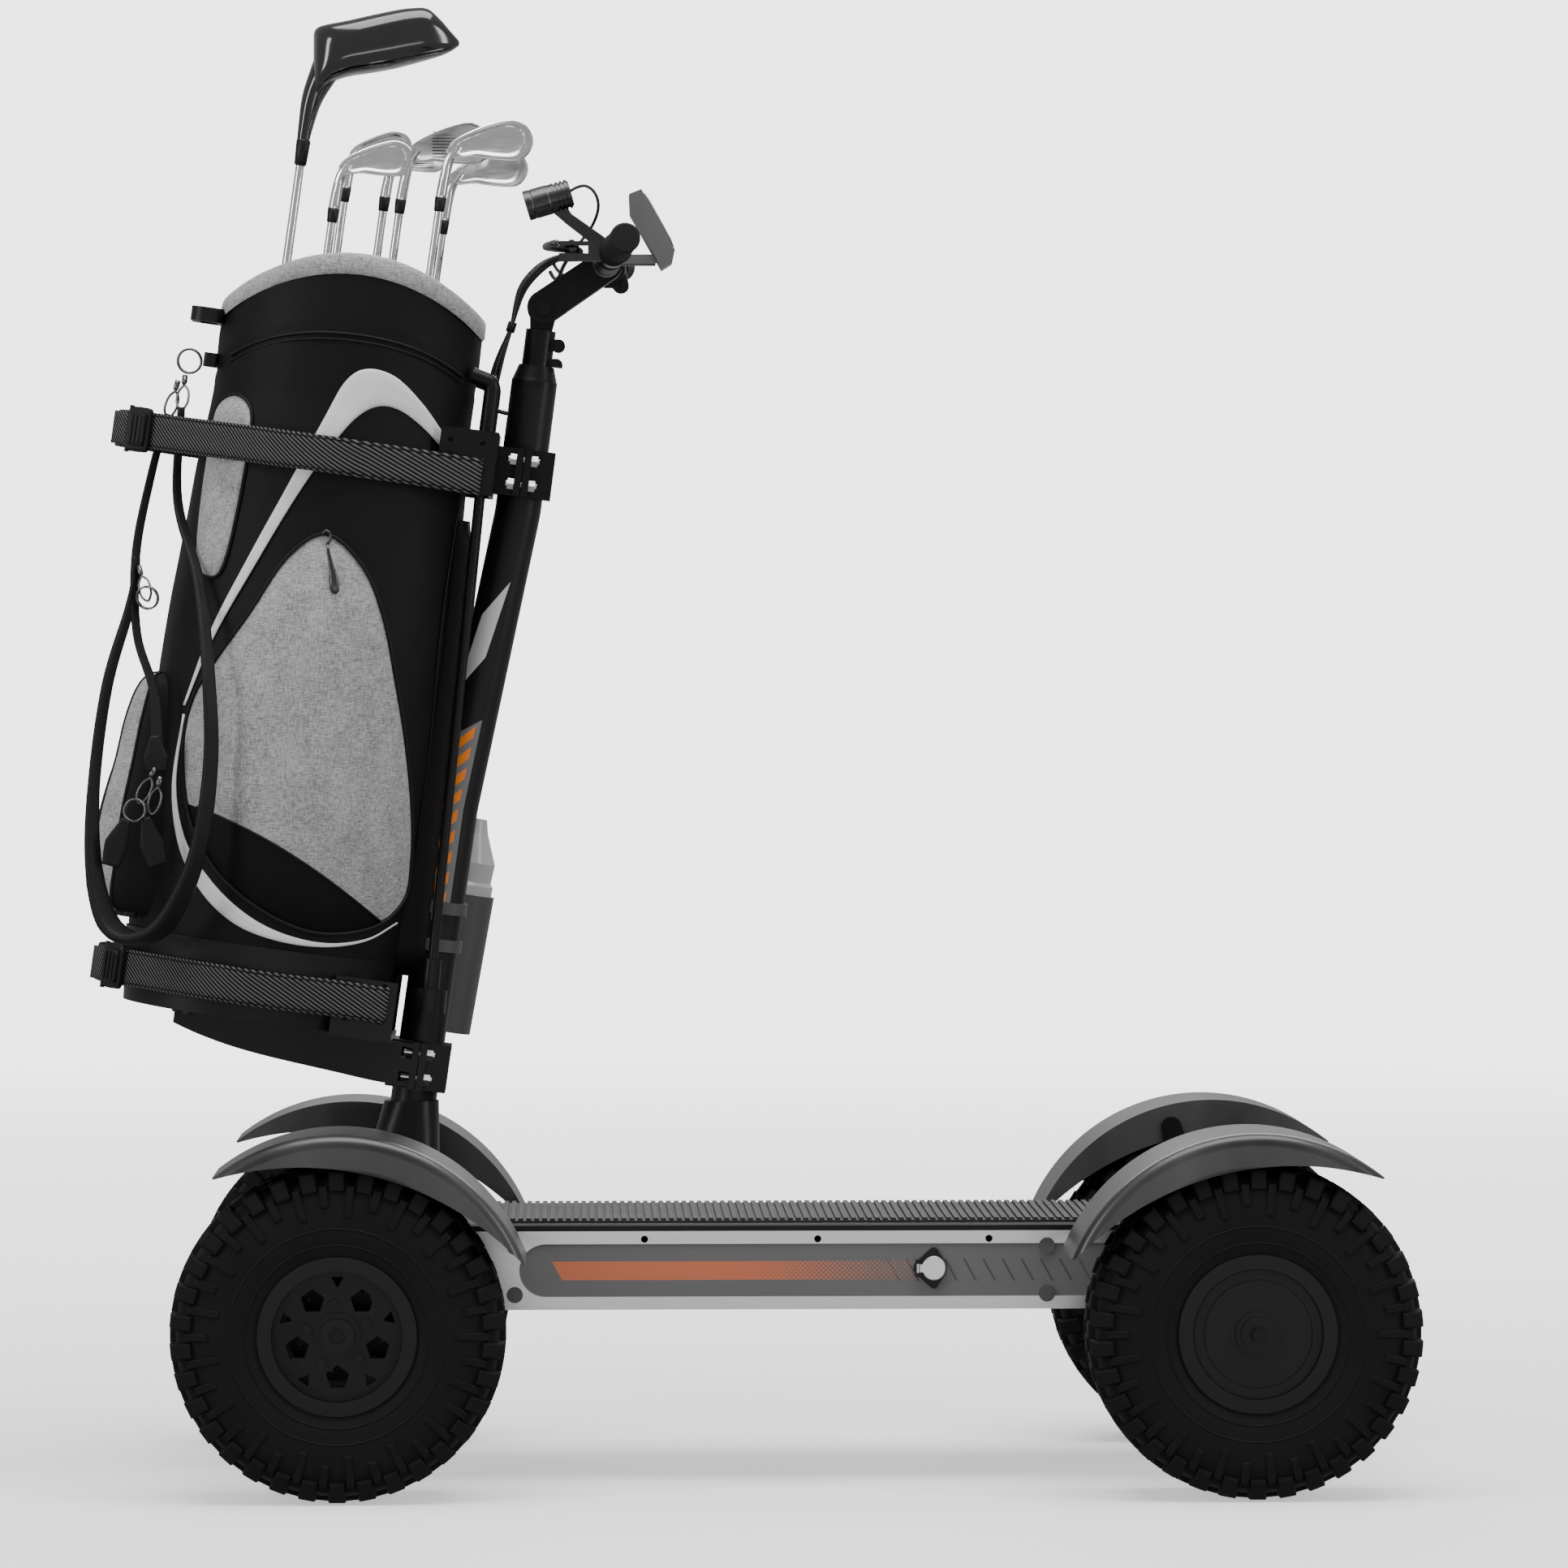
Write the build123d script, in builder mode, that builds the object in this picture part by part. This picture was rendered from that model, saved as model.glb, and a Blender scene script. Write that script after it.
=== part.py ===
"""Four-wheel stand-on golf scooter with a golf bag strapped to its steering column.

Millimetres. +Z is up, -X is the way it drives and +Y is the rider's right. The origin is on
the ground, at the middle of the overall length and on the plane of symmetry of the chassis.
"""

import os
from math import atan2, cos, degrees, pi, radians, sin, tan

from build123d import *

os.makedirs("parts", exist_ok=True)

# ---- Driving dimensions ------------------------------------------------------------------

SIDES = (("left", -1), ("right", 1))

# Wheels
front_axle_x = -444.0
rear_axle_x = 561.0
wheel_track = 575.0
tyre_radius = 184.0
tyre_width = 145.0
tyre_wall = 9.0
tread_depth = 6.0
groove_spacing = 24.0
groove_width = 7.0
bead_radius = 76.2
rim_width = 137.0
flange_radius = 87.0
flange_width = 4.0
barrel_wall = 4.5
axle_z = tyre_radius
wheel_y = wheel_track / 2

# Front hub, knuckle and brake
kingpin_y = 190.0
kingpin_radius = 8.0
boss_radius = 16.0
boss_height = 88.0
stub_radius = 8.0
running_gap = 0.05
rest_gap = 0.3
bearing_radius = 17.5
bearing_width = 12.0
hub_radius = 25.0
hub_cap_radius = 18.7
disc_radius = 60.0
disc_thickness = 3.0
steer_arm = 58.0
rod_radius = 6.0
rod_pin_radius = 4.0
rod_pin_play = 2.6

# Rear hub
rear_axle_radius = 7.0
motor_boss_radius = 24.6
motor_cap_radius = 19.0
axle_nut_radius = 9.0

# Fenders
fender_radius = 220.0
fender_skirt_radius = 180.0
fender_thickness = 3.0
fender_side_gap = 2.5
fender_shoulder = 14.0
front_fender_angles = (21.0, 128.0)
rear_fender_angles = (51.0, 158.0)

# Deck
deck_front_x = -500.0
deck_rear_x = 640.0
deck_half_width = 145.0
deck_bottom_z = 193.0
rail_height = 88.0
rail_wall = 4.0
rail_lip = 14.0
floor_thickness = 4.0
top_plate_thickness = 8.0
mat_half_width = 128.0
mat_base = 2.5
mat_rib = 2.5
mat_rib_pitch = 8.9
mat_rib_width = 5.2
mat_front_x = -290.0
mat_rear_x = 600.0
inset_front_x = -247.0
inset_rear_x = 520.0
inset_height = 59.0
inset_depth = 1.5
deck_top_z = deck_bottom_z + rail_height + top_plate_thickness
deck_mid_z = deck_bottom_z + rail_height / 2
battery_size = (420.0, 216.0, 66.0)
controller_size = (130.0, 150.0, 42.0)
charge_x = 217.0
charge_radius = 11.0
charge_cover_radius = 14.6

# Column: three straight runs with a slight bend between them
column_radius = 26.0
column_wall = 4.0
column_bend_radius = 150.0
column_foot = (-375.0, 372.0)
column_knee = (-320.6, 751.6)
column_elbow = (-249.0, 1088.0)
column_top = (-231.0, 1228.0)
head_height = 130.0
gland_z = 1196.0
gland_radius = 5.2

# Steering
steerer_radius = 17.0
steerer_in_sleeve = 95.0
collar_height = 26.0
pivot_point = (-219.2, 1320.0)
pivot_bolt_radius = 5.0
tongue_half = 9.0
arm_half = 17.0
arm_lug_radius = 19.0
bar_clamp_radius = 18.0
bar_point = (-148.4, 1367.9)
bar_radius = 11.1
bar_flat = 95.0
bar_half_length = 300.0
bar_sweep = 19.0
bar_rise = 14.2
grip_radius = 16.0
grip_length = 96.0

# Cockpit parts
lever_clamp_y = -165.0
throttle_y = 184.0
light_y = -74.0
light_radius = 16.5
light_pivot = (-192.0, 1417.0)

# Bag carrier
upper_clamp_z = 1131.5
lower_clamp_z = 460.0
clamp_half_height = 27.0
clamp_half_width = 49.0
clamp_ear = 8.0
clamp_gap = 1.0
clamp_bolt_radius = 4.0
clamp_nut_radius = 7.0
plate = 4.0
strap_thickness = 2.6
strap_width = 41.0

# Bag: lean and places along its own axis
bag_lean = 8.0
bag_foot = (-545.0, 515.0)
bag_wall = 8.0
bag_base_height = 84.0
bag_rim_height = 18.0
bag_arch = ((-158.0, 788.0), (2.0, 866.0), (158.0, 806.0))
bag_rings = (
    (bag_base_height, -4.0, 157.0, 124.0),
    (250.0, -4.0, 163.0, 136.0),
    (430.0, -3.0, 163.0, 138.0),
    (600.0, -1.0, 156.0, 134.0),
    (700.0, 0.0, 148.0, 128.0),
    (760.0, -1.0, 149.0, 129.0),
    (890.0, 0.0, 142.0, 124.0),
)
leg_y = 48.0
leg_radius = 5.5
leg_sleeve_radius = 9.0
leg_foot_radius = 20.0

# Bottle, on the right of the column
bottle_lean = 10.1
bottle_foot = (-342.0, 494.0)
bottle_y = 108.0
bottle_radius = 33.5
bottle_height = 175.0
cup_height = 160.0
cup_wall = 3.0
cup_gap = 0.5

# ---- Derived frames ----------------------------------------------------------------------

column_end = Vector(column_top[0], 0, column_top[1])
steer_dir = (column_end - Vector(column_elbow[0], 0, column_elbow[1])).normalized()
steer_across = Vector(steer_dir.Z, 0, -steer_dir.X)
bag_up = Vector(sin(radians(bag_lean)), 0, cos(radians(bag_lean)))
bag_across = Vector(bag_up.Z, 0, -bag_up.X)
bag_origin = Vector(bag_foot[0], 0, bag_foot[1])


def on_steer_axis(z):
    """The point of the steering axis at a height."""
    return column_end + steer_dir * ((z - column_end.Z) / steer_dir.Z)


def on_lower_column(z):
    """The point of the lower column's centreline at a height."""
    share = (z - column_foot[1]) / (column_knee[1] - column_foot[1])
    x = column_foot[0] + share * (column_knee[0] - column_foot[0])
    return Vector(x, 0, z)


def across(plane_origin, up):
    """A plane square to a leaning axis, its x to the rear and its y to the right."""
    return Plane(plane_origin, x_dir=Vector(up.Z, 0, -up.X), z_dir=up)


def side_plane(y):
    """A plane seen from the left: its x and y are the model's X and Z."""
    return Plane((0, y, 0), x_dir=(1, 0, 0), z_dir=(0, -1, 0))


def bag_plane(u):
    """A plane square to the bag's axis, u above its foot."""
    return across(bag_origin + bag_up * u, bag_up)


def bag_side(y):
    """A plane seen from the left, its x across the bag and its y along the bag's axis."""
    return Plane((bag_foot[0], y, bag_foot[1]), x_dir=bag_across, z_dir=(0, -1, 0))


def bag_point(v, y, u):
    """A point given across, sideways and along the bag."""
    return bag_origin + bag_across * v + Vector(0, y, 0) + bag_up * u


def wheel_section(axle_x, side):
    """A plane through an axle: its x is outward along the axle and its y is the radius."""
    return Plane((axle_x, 0, axle_z), x_dir=(0, side, 0), z_dir=(side, 0, 0))


def wheel_axis(axle_x):
    return Axis((axle_x, 0, axle_z), (0, 1, 0))


def wheel_face(axle_x, side, distance):
    """A plane square to an axle, at a distance from the middle, facing outward."""
    return Plane((axle_x, side * distance, axle_z), x_dir=(1, 0, 0), z_dir=(0, side, 0))


def runs_and_arcs(points, radii):
    """Draws straight runs between points in the open line, joined by tangent arcs."""
    points = [Vector(*p) if not isinstance(p, Vector) else p for p in points]
    here = points[0]
    for before, corner, after, radius in zip(points, points[1:], points[2:], radii):
        into = (corner - before).normalized()
        out = (after - corner).normalized()
        half_turn = into.get_angle(out) / 2
        reach = radius * tan(radians(half_turn))
        start = corner - into * reach
        end = corner + out * reach
        inward = (out - into).normalized()
        middle = corner + inward * (radius / cos(radians(half_turn)) - radius)
        Line(here, start)
        ThreePointArc(start, middle, end)
        here = end
    Line(here, points[-1])


def widest_radii(points):
    """For each corner of a route, the largest arc that its two runs allow."""
    points = [Vector(*p) if not isinstance(p, Vector) else p for p in points]
    radii = []
    for before, corner, after in zip(points, points[1:], points[2:]):
        half_turn = radians((corner - before).get_angle(after - corner) / 2)
        shorter = min((corner - before).length, (after - corner).length)
        radii.append(0.45 * shorter / tan(half_turn))
    return radii


def round_tube(points, radii, outer, inner=0.0):
    """Adds a round bar or tube that follows a route."""
    with BuildLine() as route:
        runs_and_arcs(points, radii)
    start = Plane(route.line @ 0, z_dir=route.line % 0)
    with BuildSketch(start) as section:
        Circle(outer)
        if inner:
            Circle(inner, mode=Mode.SUBTRACT)
    sweep(section.sketch, path=route.line)


def keep(piece, name):
    """Labels a finished piece and writes it."""
    piece.part.label = name
    export_step(piece.part, f"parts/{name}.step")


def keep_group(pieces, name):
    """Writes touching pieces as separate solids of one sub-part."""
    solids = [solid for piece in pieces for solid in piece.part.solids()]
    export_step(Compound(label=name, children=solids), f"parts/{name}.step")


# ---- Wheels ------------------------------------------------------------------------------


def tyre_outline():
    """The open section of a tyre, from bead to bead, as outward place and radius."""
    crown = tyre_radius
    shoulder = 22.0
    belly = flange_radius + 26
    bead_y = rim_width / 2 - flange_width
    half = tyre_width / 2
    outside = [
        (bead_y, bead_radius),
        (bead_y, flange_radius + 1),
        (half, belly),
        (half, crown - shoulder),
        (half - shoulder * 0.45, crown),
    ]
    inside = [
        (half - shoulder, crown - tyre_wall),
        (half - tyre_wall, crown - shoulder),
        (half - tyre_wall, belly),
        (bead_y - tyre_wall, bead_radius),
    ]
    left = [(wheel_y - y, r) for y, r in outside]
    right = [(wheel_y + y, r) for y, r in reversed(outside)]
    right_inside = [(wheel_y + y, r) for y, r in reversed(inside)]
    left_inside = [(wheel_y - y, r) for y, r in inside]
    return left + right + right_inside + left_inside


def build_tyre(axle_x, side, name):
    with BuildPart() as tyre:
        with BuildSketch(wheel_section(axle_x, side)):
            with BuildLine():
                Polyline(*tyre_outline(), close=True)
            make_face()
            for offset_y in (-groove_spacing, groove_spacing):
                with Locations((wheel_y + offset_y, tyre_radius)):
                    Rectangle(groove_width, 2 * tread_depth, mode=Mode.SUBTRACT)
        revolve(axis=wheel_axis(axle_x))
    keep(tyre, name)


def rim_outline():
    """The rim's barrel and its two flanges, as outward place and radius."""
    low = wheel_y - rim_width / 2
    high = wheel_y + rim_width / 2
    inner = bead_radius - barrel_wall
    return [
        (low, inner),
        (high, inner),
        (high, flange_radius),
        (high - flange_width, flange_radius),
        (high - flange_width, bead_radius),
        (low + flange_width, bead_radius),
        (low + flange_width, flange_radius),
        (low, flange_radius),
    ]


def build_front_rim(side):
    face_y = wheel_y + 44
    face_thickness = 10.0
    hub_inner_y = 237.0
    cap_y = face_y + 8
    name = "front_rim_" + ("left" if side < 0 else "right")
    with BuildPart() as rim:
        with BuildSketch(wheel_section(front_axle_x, side)):
            with BuildLine():
                Polyline(*rim_outline(), close=True)
            make_face()
            with Locations(((hub_inner_y + cap_y) / 2, hub_radius / 2)):
                Rectangle(cap_y - hub_inner_y, hub_radius)
            with Locations((face_y, bead_radius / 2)):
                Rectangle(face_thickness, bead_radius)
        revolve(axis=wheel_axis(front_axle_x))
        with BuildSketch(wheel_face(front_axle_x, side, face_y + face_thickness)):
            with PolarLocations(46, 5, start_angle=126):
                RegularPolygon(13.5, 5, rotation=36)
            with PolarLocations(60, 5, start_angle=90):
                RegularPolygon(8, 3, rotation=60)
        extrude(amount=-3 * face_thickness, mode=Mode.SUBTRACT)
        bearing_reach = cap_y - hub_inner_y
        with BuildSketch(wheel_face(front_axle_x, side, cap_y)):
            Circle(bearing_radius)
        extrude(amount=-bearing_reach, mode=Mode.SUBTRACT)
        with BuildSketch(wheel_face(front_axle_x, side, face_y + face_thickness / 2)):
            with PolarLocations(34.5, 5, start_angle=96):
                Circle(5)
        extrude(amount=4)
    pieces = [rim]
    for start in (hub_inner_y, cap_y - bearing_width - 4):
        with BuildPart() as bearing:
            with BuildSketch(wheel_face(front_axle_x, side, start)):
                Circle(bearing_radius)
                Circle(stub_radius + running_gap, mode=Mode.SUBTRACT)
            extrude(amount=bearing_width)
        pieces.append(bearing)
    with BuildPart() as hub_cap:
        with BuildSketch(wheel_face(front_axle_x, side, cap_y)):
            Circle(hub_cap_radius)
        extrude(amount=7)
        with BuildSketch(wheel_face(front_axle_x, side, cap_y + 7)):
            Circle(9)
        extrude(amount=-4, mode=Mode.SUBTRACT)
    with BuildPart() as brake_disc:
        with BuildSketch(wheel_face(front_axle_x, side, hub_inner_y - disc_thickness)):
            Circle(disc_radius)
            Circle(bearing_radius + 1, mode=Mode.SUBTRACT)
            with PolarLocations(48, 18):
                Circle(3.5, mode=Mode.SUBTRACT)
        extrude(amount=disc_thickness)
    keep_group([*pieces, hub_cap, brake_disc], name)


def build_hub_motor(side):
    name = "hub_motor_" + ("left" if side < 0 else "right")
    face_y = wheel_y + rim_width / 2 - 5
    back_y = wheel_y - rim_width / 2 + 4
    with BuildPart() as motor:
        with BuildSketch(wheel_section(rear_axle_x, side)):
            with BuildLine():
                Polyline(*rim_outline(), close=True)
            make_face()
            with Locations(((face_y + back_y) / 2, bead_radius / 2)):
                Rectangle(face_y - back_y, bead_radius)
        revolve(axis=wheel_axis(rear_axle_x))
        with BuildSketch(wheel_face(rear_axle_x, side, face_y)):
            Circle(73)
            Circle(70, mode=Mode.SUBTRACT)
            Circle(60)
            Circle(58.5, mode=Mode.SUBTRACT)
        extrude(amount=-2, mode=Mode.SUBTRACT)
        with BuildSketch(wheel_face(rear_axle_x, side, face_y)):
            Circle(motor_boss_radius)
        extrude(amount=4)
        with BuildSketch(wheel_face(rear_axle_x, side, face_y + 4)):
            Circle(motor_cap_radius)
        extrude(amount=3)
        with BuildSketch(wheel_face(rear_axle_x, side, face_y + 7)):
            Circle(rear_axle_radius + running_gap)
        extrude(amount=-200, mode=Mode.SUBTRACT)
    keep(motor, name)


for side_name, side in SIDES:
    build_tyre(front_axle_x, side, "front_tyre_" + side_name)
    build_tyre(rear_axle_x, side, "rear_tyre_" + side_name)
    build_front_rim(side)
    build_hub_motor(side)

# ---- Fenders -----------------------------------------------------------------------------


def build_fender(axle_x, side, angles, name):
    """A crescent shell over a tyre, deep in the middle and pointed at both ends."""
    inner_y = wheel_y - tyre_width / 2 - fender_side_gap - fender_thickness
    outer_y = wheel_y + tyre_width / 2 + fender_side_gap + fender_thickness
    width = outer_y - inner_y
    depth = fender_radius - fender_skirt_radius + 10
    first, last = angles
    middle = (first + last) / 2
    start = Plane(
        (axle_x, 0, axle_z),
        x_dir=(0, side, 0),
        z_dir=Vector(0, side, 0).cross(Vector(cos(radians(first)), 0, sin(radians(first)))),
    )
    wall = fender_thickness
    middle_y = (inner_y + outer_y) / 2
    with BuildSketch(start) as hollow:
        with Locations((middle_y, fender_radius - depth / 2 - wall)):
            Rectangle(width - 2 * wall, depth)
        fillet(vertices().sort_by(Axis(start.origin, start.y_dir))[-2:], fender_shoulder - wall)
    with BuildPart() as fender:
        with BuildSketch(start):
            with Locations((middle_y, fender_radius - depth / 2)):
                Rectangle(width, depth)
            fillet(vertices().sort_by(Axis(start.origin, start.y_dir))[-2:], fender_shoulder)
            add(hollow.sketch_local, mode=Mode.SUBTRACT)
        revolve(axis=Axis((axle_x, 0, axle_z), (0, -1, 0)), revolution_arc=last - first)
        with BuildSketch(side_plane(outer_y + 20)):
            with BuildLine():
                ends = [
                    (
                        axle_x + r * cos(radians(a)),
                        axle_z + r * sin(radians(a)),
                    )
                    for a, r in (
                        (first, fender_radius - 2),
                        (middle, fender_skirt_radius),
                        (last, fender_radius - 2),
                    )
                ]
                ThreePointArc(*ends)
                Line(ends[2], (axle_x - 400, axle_z - 300))
                Line((axle_x - 400, axle_z - 300), (axle_x + 400, axle_z - 300))
                Line((axle_x + 400, axle_z - 300), ends[0])
            make_face()
        extrude(amount=2 * outer_y + 40, mode=Mode.SUBTRACT)
    keep(fender, name)


for side_name, side in SIDES:
    build_fender(front_axle_x, side, front_fender_angles, "front_fender_" + side_name)
    build_fender(rear_axle_x, side, rear_fender_angles, "rear_fender_" + side_name)


def fender_stay(axle_x, side, angle):
    """Adds the flat stay that carries a fender beside its inner skirt."""
    stay_y = wheel_y - tyre_width / 2 - fender_side_gap - fender_thickness - plate
    tip_r = fender_skirt_radius + 14
    plane = wheel_face(axle_x, side, stay_y)
    lean = radians(angle)
    tip = (tip_r * cos(lean), -side * tip_r * sin(lean))
    with BuildSketch(plane) as stay:
        Circle(26)
        with Locations(tip):
            Circle(12)
        make_hull()
    extrude(stay.sketch, amount=plate)


# ---- Front suspension --------------------------------------------------------------------

ear_radius = 13.0
ear_thickness = 12.0
boss_low = axle_z - boss_height / 2
boss_high = axle_z + boss_height / 2
web_y = kingpin_y - boss_radius - 1 - 5
rod_z = boss_low + 30

with BuildPart() as front_axle_beam:
    with BuildSketch(Plane.XY.offset(deck_bottom_z)):
        with Locations((front_axle_x, 0)):
            Rectangle(44, 2 * web_y + 2)
    extrude(amount=-(deck_bottom_z - 150))
    for _, side in SIDES:
        with BuildSketch(Plane.XY.offset(boss_low - rest_gap - ear_thickness)):
            with Locations((front_axle_x, side * (web_y + 2.5))):
                Rectangle(30, 5)
        extrude(amount=boss_height + 2 * rest_gap + 2 * ear_thickness)
        for low in (boss_low - rest_gap - ear_thickness, boss_high + rest_gap):
            with BuildSketch(Plane.XY.offset(low)):
                with Locations((front_axle_x, side * kingpin_y)):
                    Circle(ear_radius)
                with Locations((front_axle_x, side * (web_y + kingpin_y) / 2)):
                    Rectangle(2 * ear_radius, kingpin_y - web_y)
                with Locations((front_axle_x, side * kingpin_y)):
                    Circle(kingpin_radius, mode=Mode.SUBTRACT)
            extrude(amount=ear_thickness)
        with BuildSketch(Plane.XY.offset(boss_low - rest_gap - ear_thickness - 4)):
            with Locations((front_axle_x, side * kingpin_y)):
                Circle(kingpin_radius)
        extrude(amount=boss_height + 2 * rest_gap + 2 * ear_thickness + 8)
keep(front_axle_beam, "front_axle_beam")


def build_knuckle(side):
    name = "knuckle_" + ("left" if side < 0 else "right")
    stub_end_y = wheel_y + 47
    stay_y = wheel_y - tyre_width / 2 - fender_side_gap - fender_thickness - plate
    with BuildPart() as knuckle:
        with BuildSketch(Plane.XY.offset(boss_low)):
            with Locations((front_axle_x, side * kingpin_y)):
                Circle(boss_radius)
        extrude(amount=boss_height)
        with BuildSketch(wheel_face(front_axle_x, side, kingpin_y)):
            Circle(15)
        extrude(amount=228 - kingpin_y)
        fender_stay(front_axle_x, side, 76)
        with BuildSketch(wheel_face(front_axle_x, side, 228)):
            Circle(stub_radius)
        extrude(amount=stub_end_y - 228)
        # Calliper arm, inside the rim
        arm_angle = radians(128)
        arm_mid = (40 * cos(arm_angle), -side * 40 * sin(arm_angle))
        with BuildSketch(wheel_face(front_axle_x, side, stay_y)):
            with Locations(Location((arm_mid[0], arm_mid[1], 0), degrees(
                atan2(arm_mid[1], arm_mid[0])
            ))):
                Rectangle(44, 18)
        extrude(amount=224 - stay_y)
        # Steering arm
        with BuildSketch(Plane.XY.offset(boss_low + 8)):
            with Locations((front_axle_x + steer_arm / 2 + 4, side * kingpin_y)):
                Rectangle(steer_arm - 8, 16)
            with Locations((front_axle_x + steer_arm, side * kingpin_y)):
                Circle(12)
        extrude(amount=10)
        with Locations((front_axle_x + steer_arm, side * kingpin_y, boss_low + 13)):
            Cylinder(rod_pin_radius + rod_pin_play, 20, mode=Mode.SUBTRACT)
        with Locations((front_axle_x, side * kingpin_y, axle_z)):
            Cylinder(kingpin_radius + running_gap, boss_height + 2, mode=Mode.SUBTRACT)
        # Calliper, straddling the disc
        with BuildSketch(wheel_face(front_axle_x, side, 224)):
            with Locations(Location((arm_mid[0] * 1.37, arm_mid[1] * 1.37, 0), degrees(
                atan2(arm_mid[1], arm_mid[0])
            ))):
                Rectangle(20, 40)
        extrude(amount=24)
        with BuildSketch(wheel_face(front_axle_x, side, 237 - disc_thickness - 1.5)):
            Circle(disc_radius + 2)
            Circle(26, mode=Mode.SUBTRACT)
        extrude(amount=disc_thickness + 3, mode=Mode.SUBTRACT)
    keep(knuckle, name)


for _, side in SIDES:
    build_knuckle(side)

with BuildPart() as track_rod:
    rod_x = front_axle_x + steer_arm
    rod_line_z = boss_low + 18 + rest_gap + rod_radius
    with BuildSketch(side_plane(kingpin_y + 8)):
        with Locations((rod_x, rod_line_z)):
            Circle(rod_radius)
    extrude(amount=2 * kingpin_y + 16)
    for _, side in SIDES:
        with Locations((rod_x, side * kingpin_y, rod_line_z - 9)):
            Cylinder(rod_pin_radius, 18)
keep(track_rod, "track_rod")

with BuildPart() as rear_axle_bracket:
    stay_y = wheel_y - tyre_width / 2 - fender_side_gap - fender_thickness - plate
    with BuildSketch(Plane.XY.offset(deck_bottom_z)):
        with Locations((rear_axle_x, 0)):
            Rectangle(56, 2 * (stay_y + plate))
    extrude(amount=-34)
    for _, side in SIDES:
        fender_stay(rear_axle_x, side, 104)
        with BuildSketch(wheel_face(rear_axle_x, side, stay_y)):
            Circle(rear_axle_radius)
        extrude(amount=wheel_y + rim_width / 2 + 12 - stay_y)
        with BuildSketch(wheel_face(rear_axle_x, side, stay_y + plate)):
            Circle(13)
        extrude(amount=2)
        with BuildSketch(wheel_face(rear_axle_x, side, wheel_y + rim_width / 2 + 2.3)):
            RegularPolygon(axle_nut_radius, 6)
            Circle(rear_axle_radius, mode=Mode.SUBTRACT)
        extrude(amount=6)
keep(rear_axle_bracket, "rear_axle_bracket")

# ---- Deck --------------------------------------------------------------------------------

deck_length = deck_rear_x - deck_front_x
deck_centre_x = (deck_front_x + deck_rear_x) / 2
screw_spots = [
    (x, z)
    for x in (-252.0, 344.0)
    for z in (deck_mid_z - 27.0, deck_mid_z + 27.0)
]

with BuildPart() as side_rails:
    for _, side in SIDES:
        with BuildSketch(Plane((deck_front_x, 0, 0), x_dir=(0, side, 0), z_dir=(side, 0, 0))):
            with Locations((deck_half_width - rail_wall / 2, deck_mid_z)):
                Rectangle(rail_wall, rail_height)
            for z in (deck_bottom_z + rail_wall / 2, deck_bottom_z + rail_height - rail_wall / 2):
                with Locations((deck_half_width - rail_lip / 2, z)):
                    Rectangle(rail_lip, rail_wall)
        extrude(amount=side * deck_length)
        # The sunk panel, with a round front end
        with BuildSketch(side_plane(side * deck_half_width)):
            with Locations(((inset_front_x + inset_rear_x) / 2, deck_mid_z)):
                SlotOverall(inset_rear_x - inset_front_x, inset_height)
        extrude(amount=side * inset_depth, mode=Mode.SUBTRACT)
        with BuildSketch(side_plane(side * deck_half_width)):
            with Locations(*[(x, z) for x, z in screw_spots]):
                Circle(3)
            with Locations(*[(x, deck_bottom_z + rail_height - 9) for x in (-107, 87, 279)]):
                Circle(4)
        extrude(amount=side * rail_wall, mode=Mode.SUBTRACT)
    with BuildSketch(side_plane(-deck_half_width)):
        with Locations((charge_x, deck_mid_z + 2)):
            Circle(charge_radius)
    extrude(amount=-rail_wall, mode=Mode.SUBTRACT)
keep(side_rails, "side_rails")

inner_half = deck_half_width - rail_wall
with BuildPart() as deck_floor:
    with BuildSketch(Plane.XY.offset(deck_bottom_z + rail_wall)):
        with Locations((deck_centre_x, 0)):
            Rectangle(deck_length, 2 * inner_half)
    extrude(amount=floor_thickness)
    with BuildSketch(Plane.XY.offset(deck_bottom_z)):
        with Locations((deck_centre_x, 0)):
            Rectangle(deck_length, 2 * (deck_half_width - rail_lip))
    extrude(amount=rail_wall)
    for x in (deck_front_x, deck_rear_x - rail_wall):
        with BuildSketch(Plane.XY.offset(deck_bottom_z + rail_wall + floor_thickness)):
            with Locations((x + rail_wall / 2, 0)):
                Rectangle(rail_wall, 2 * inner_half)
        extrude(amount=rail_height - 2 * rail_wall - floor_thickness)
keep(deck_floor, "deck_floor")

with BuildPart() as deck_top_plate:
    with BuildSketch(Plane.XY.offset(deck_bottom_z + rail_height)):
        with Locations((deck_centre_x, 0)):
            RectangleRounded(deck_length, 2 * deck_half_width, 20)
    extrude(amount=top_plate_thickness)
    chamfer(faces().sort_by(Axis.Z)[-1].edges(), 2)
keep(deck_top_plate, "deck_top_plate")

with BuildPart() as deck_mat:
    mat_length = mat_rear_x - mat_front_x
    mat_centre = (mat_front_x + mat_rear_x) / 2
    with BuildSketch(Plane.XY.offset(deck_top_z)):
        with Locations((mat_centre, 0)):
            Rectangle(mat_length, 2 * mat_half_width)
    extrude(amount=mat_base)
    rib_count = int(mat_length / mat_rib_pitch) - 1
    with BuildSketch(Plane.XY.offset(deck_top_z + mat_base)):
        with Locations((mat_centre, 0)):
            with GridLocations(mat_rib_pitch, 1, rib_count, 1):
                Rectangle(mat_rib_width, 2 * mat_half_width - 6)
    extrude(amount=mat_rib)
keep(deck_mat, "deck_mat")

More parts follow.
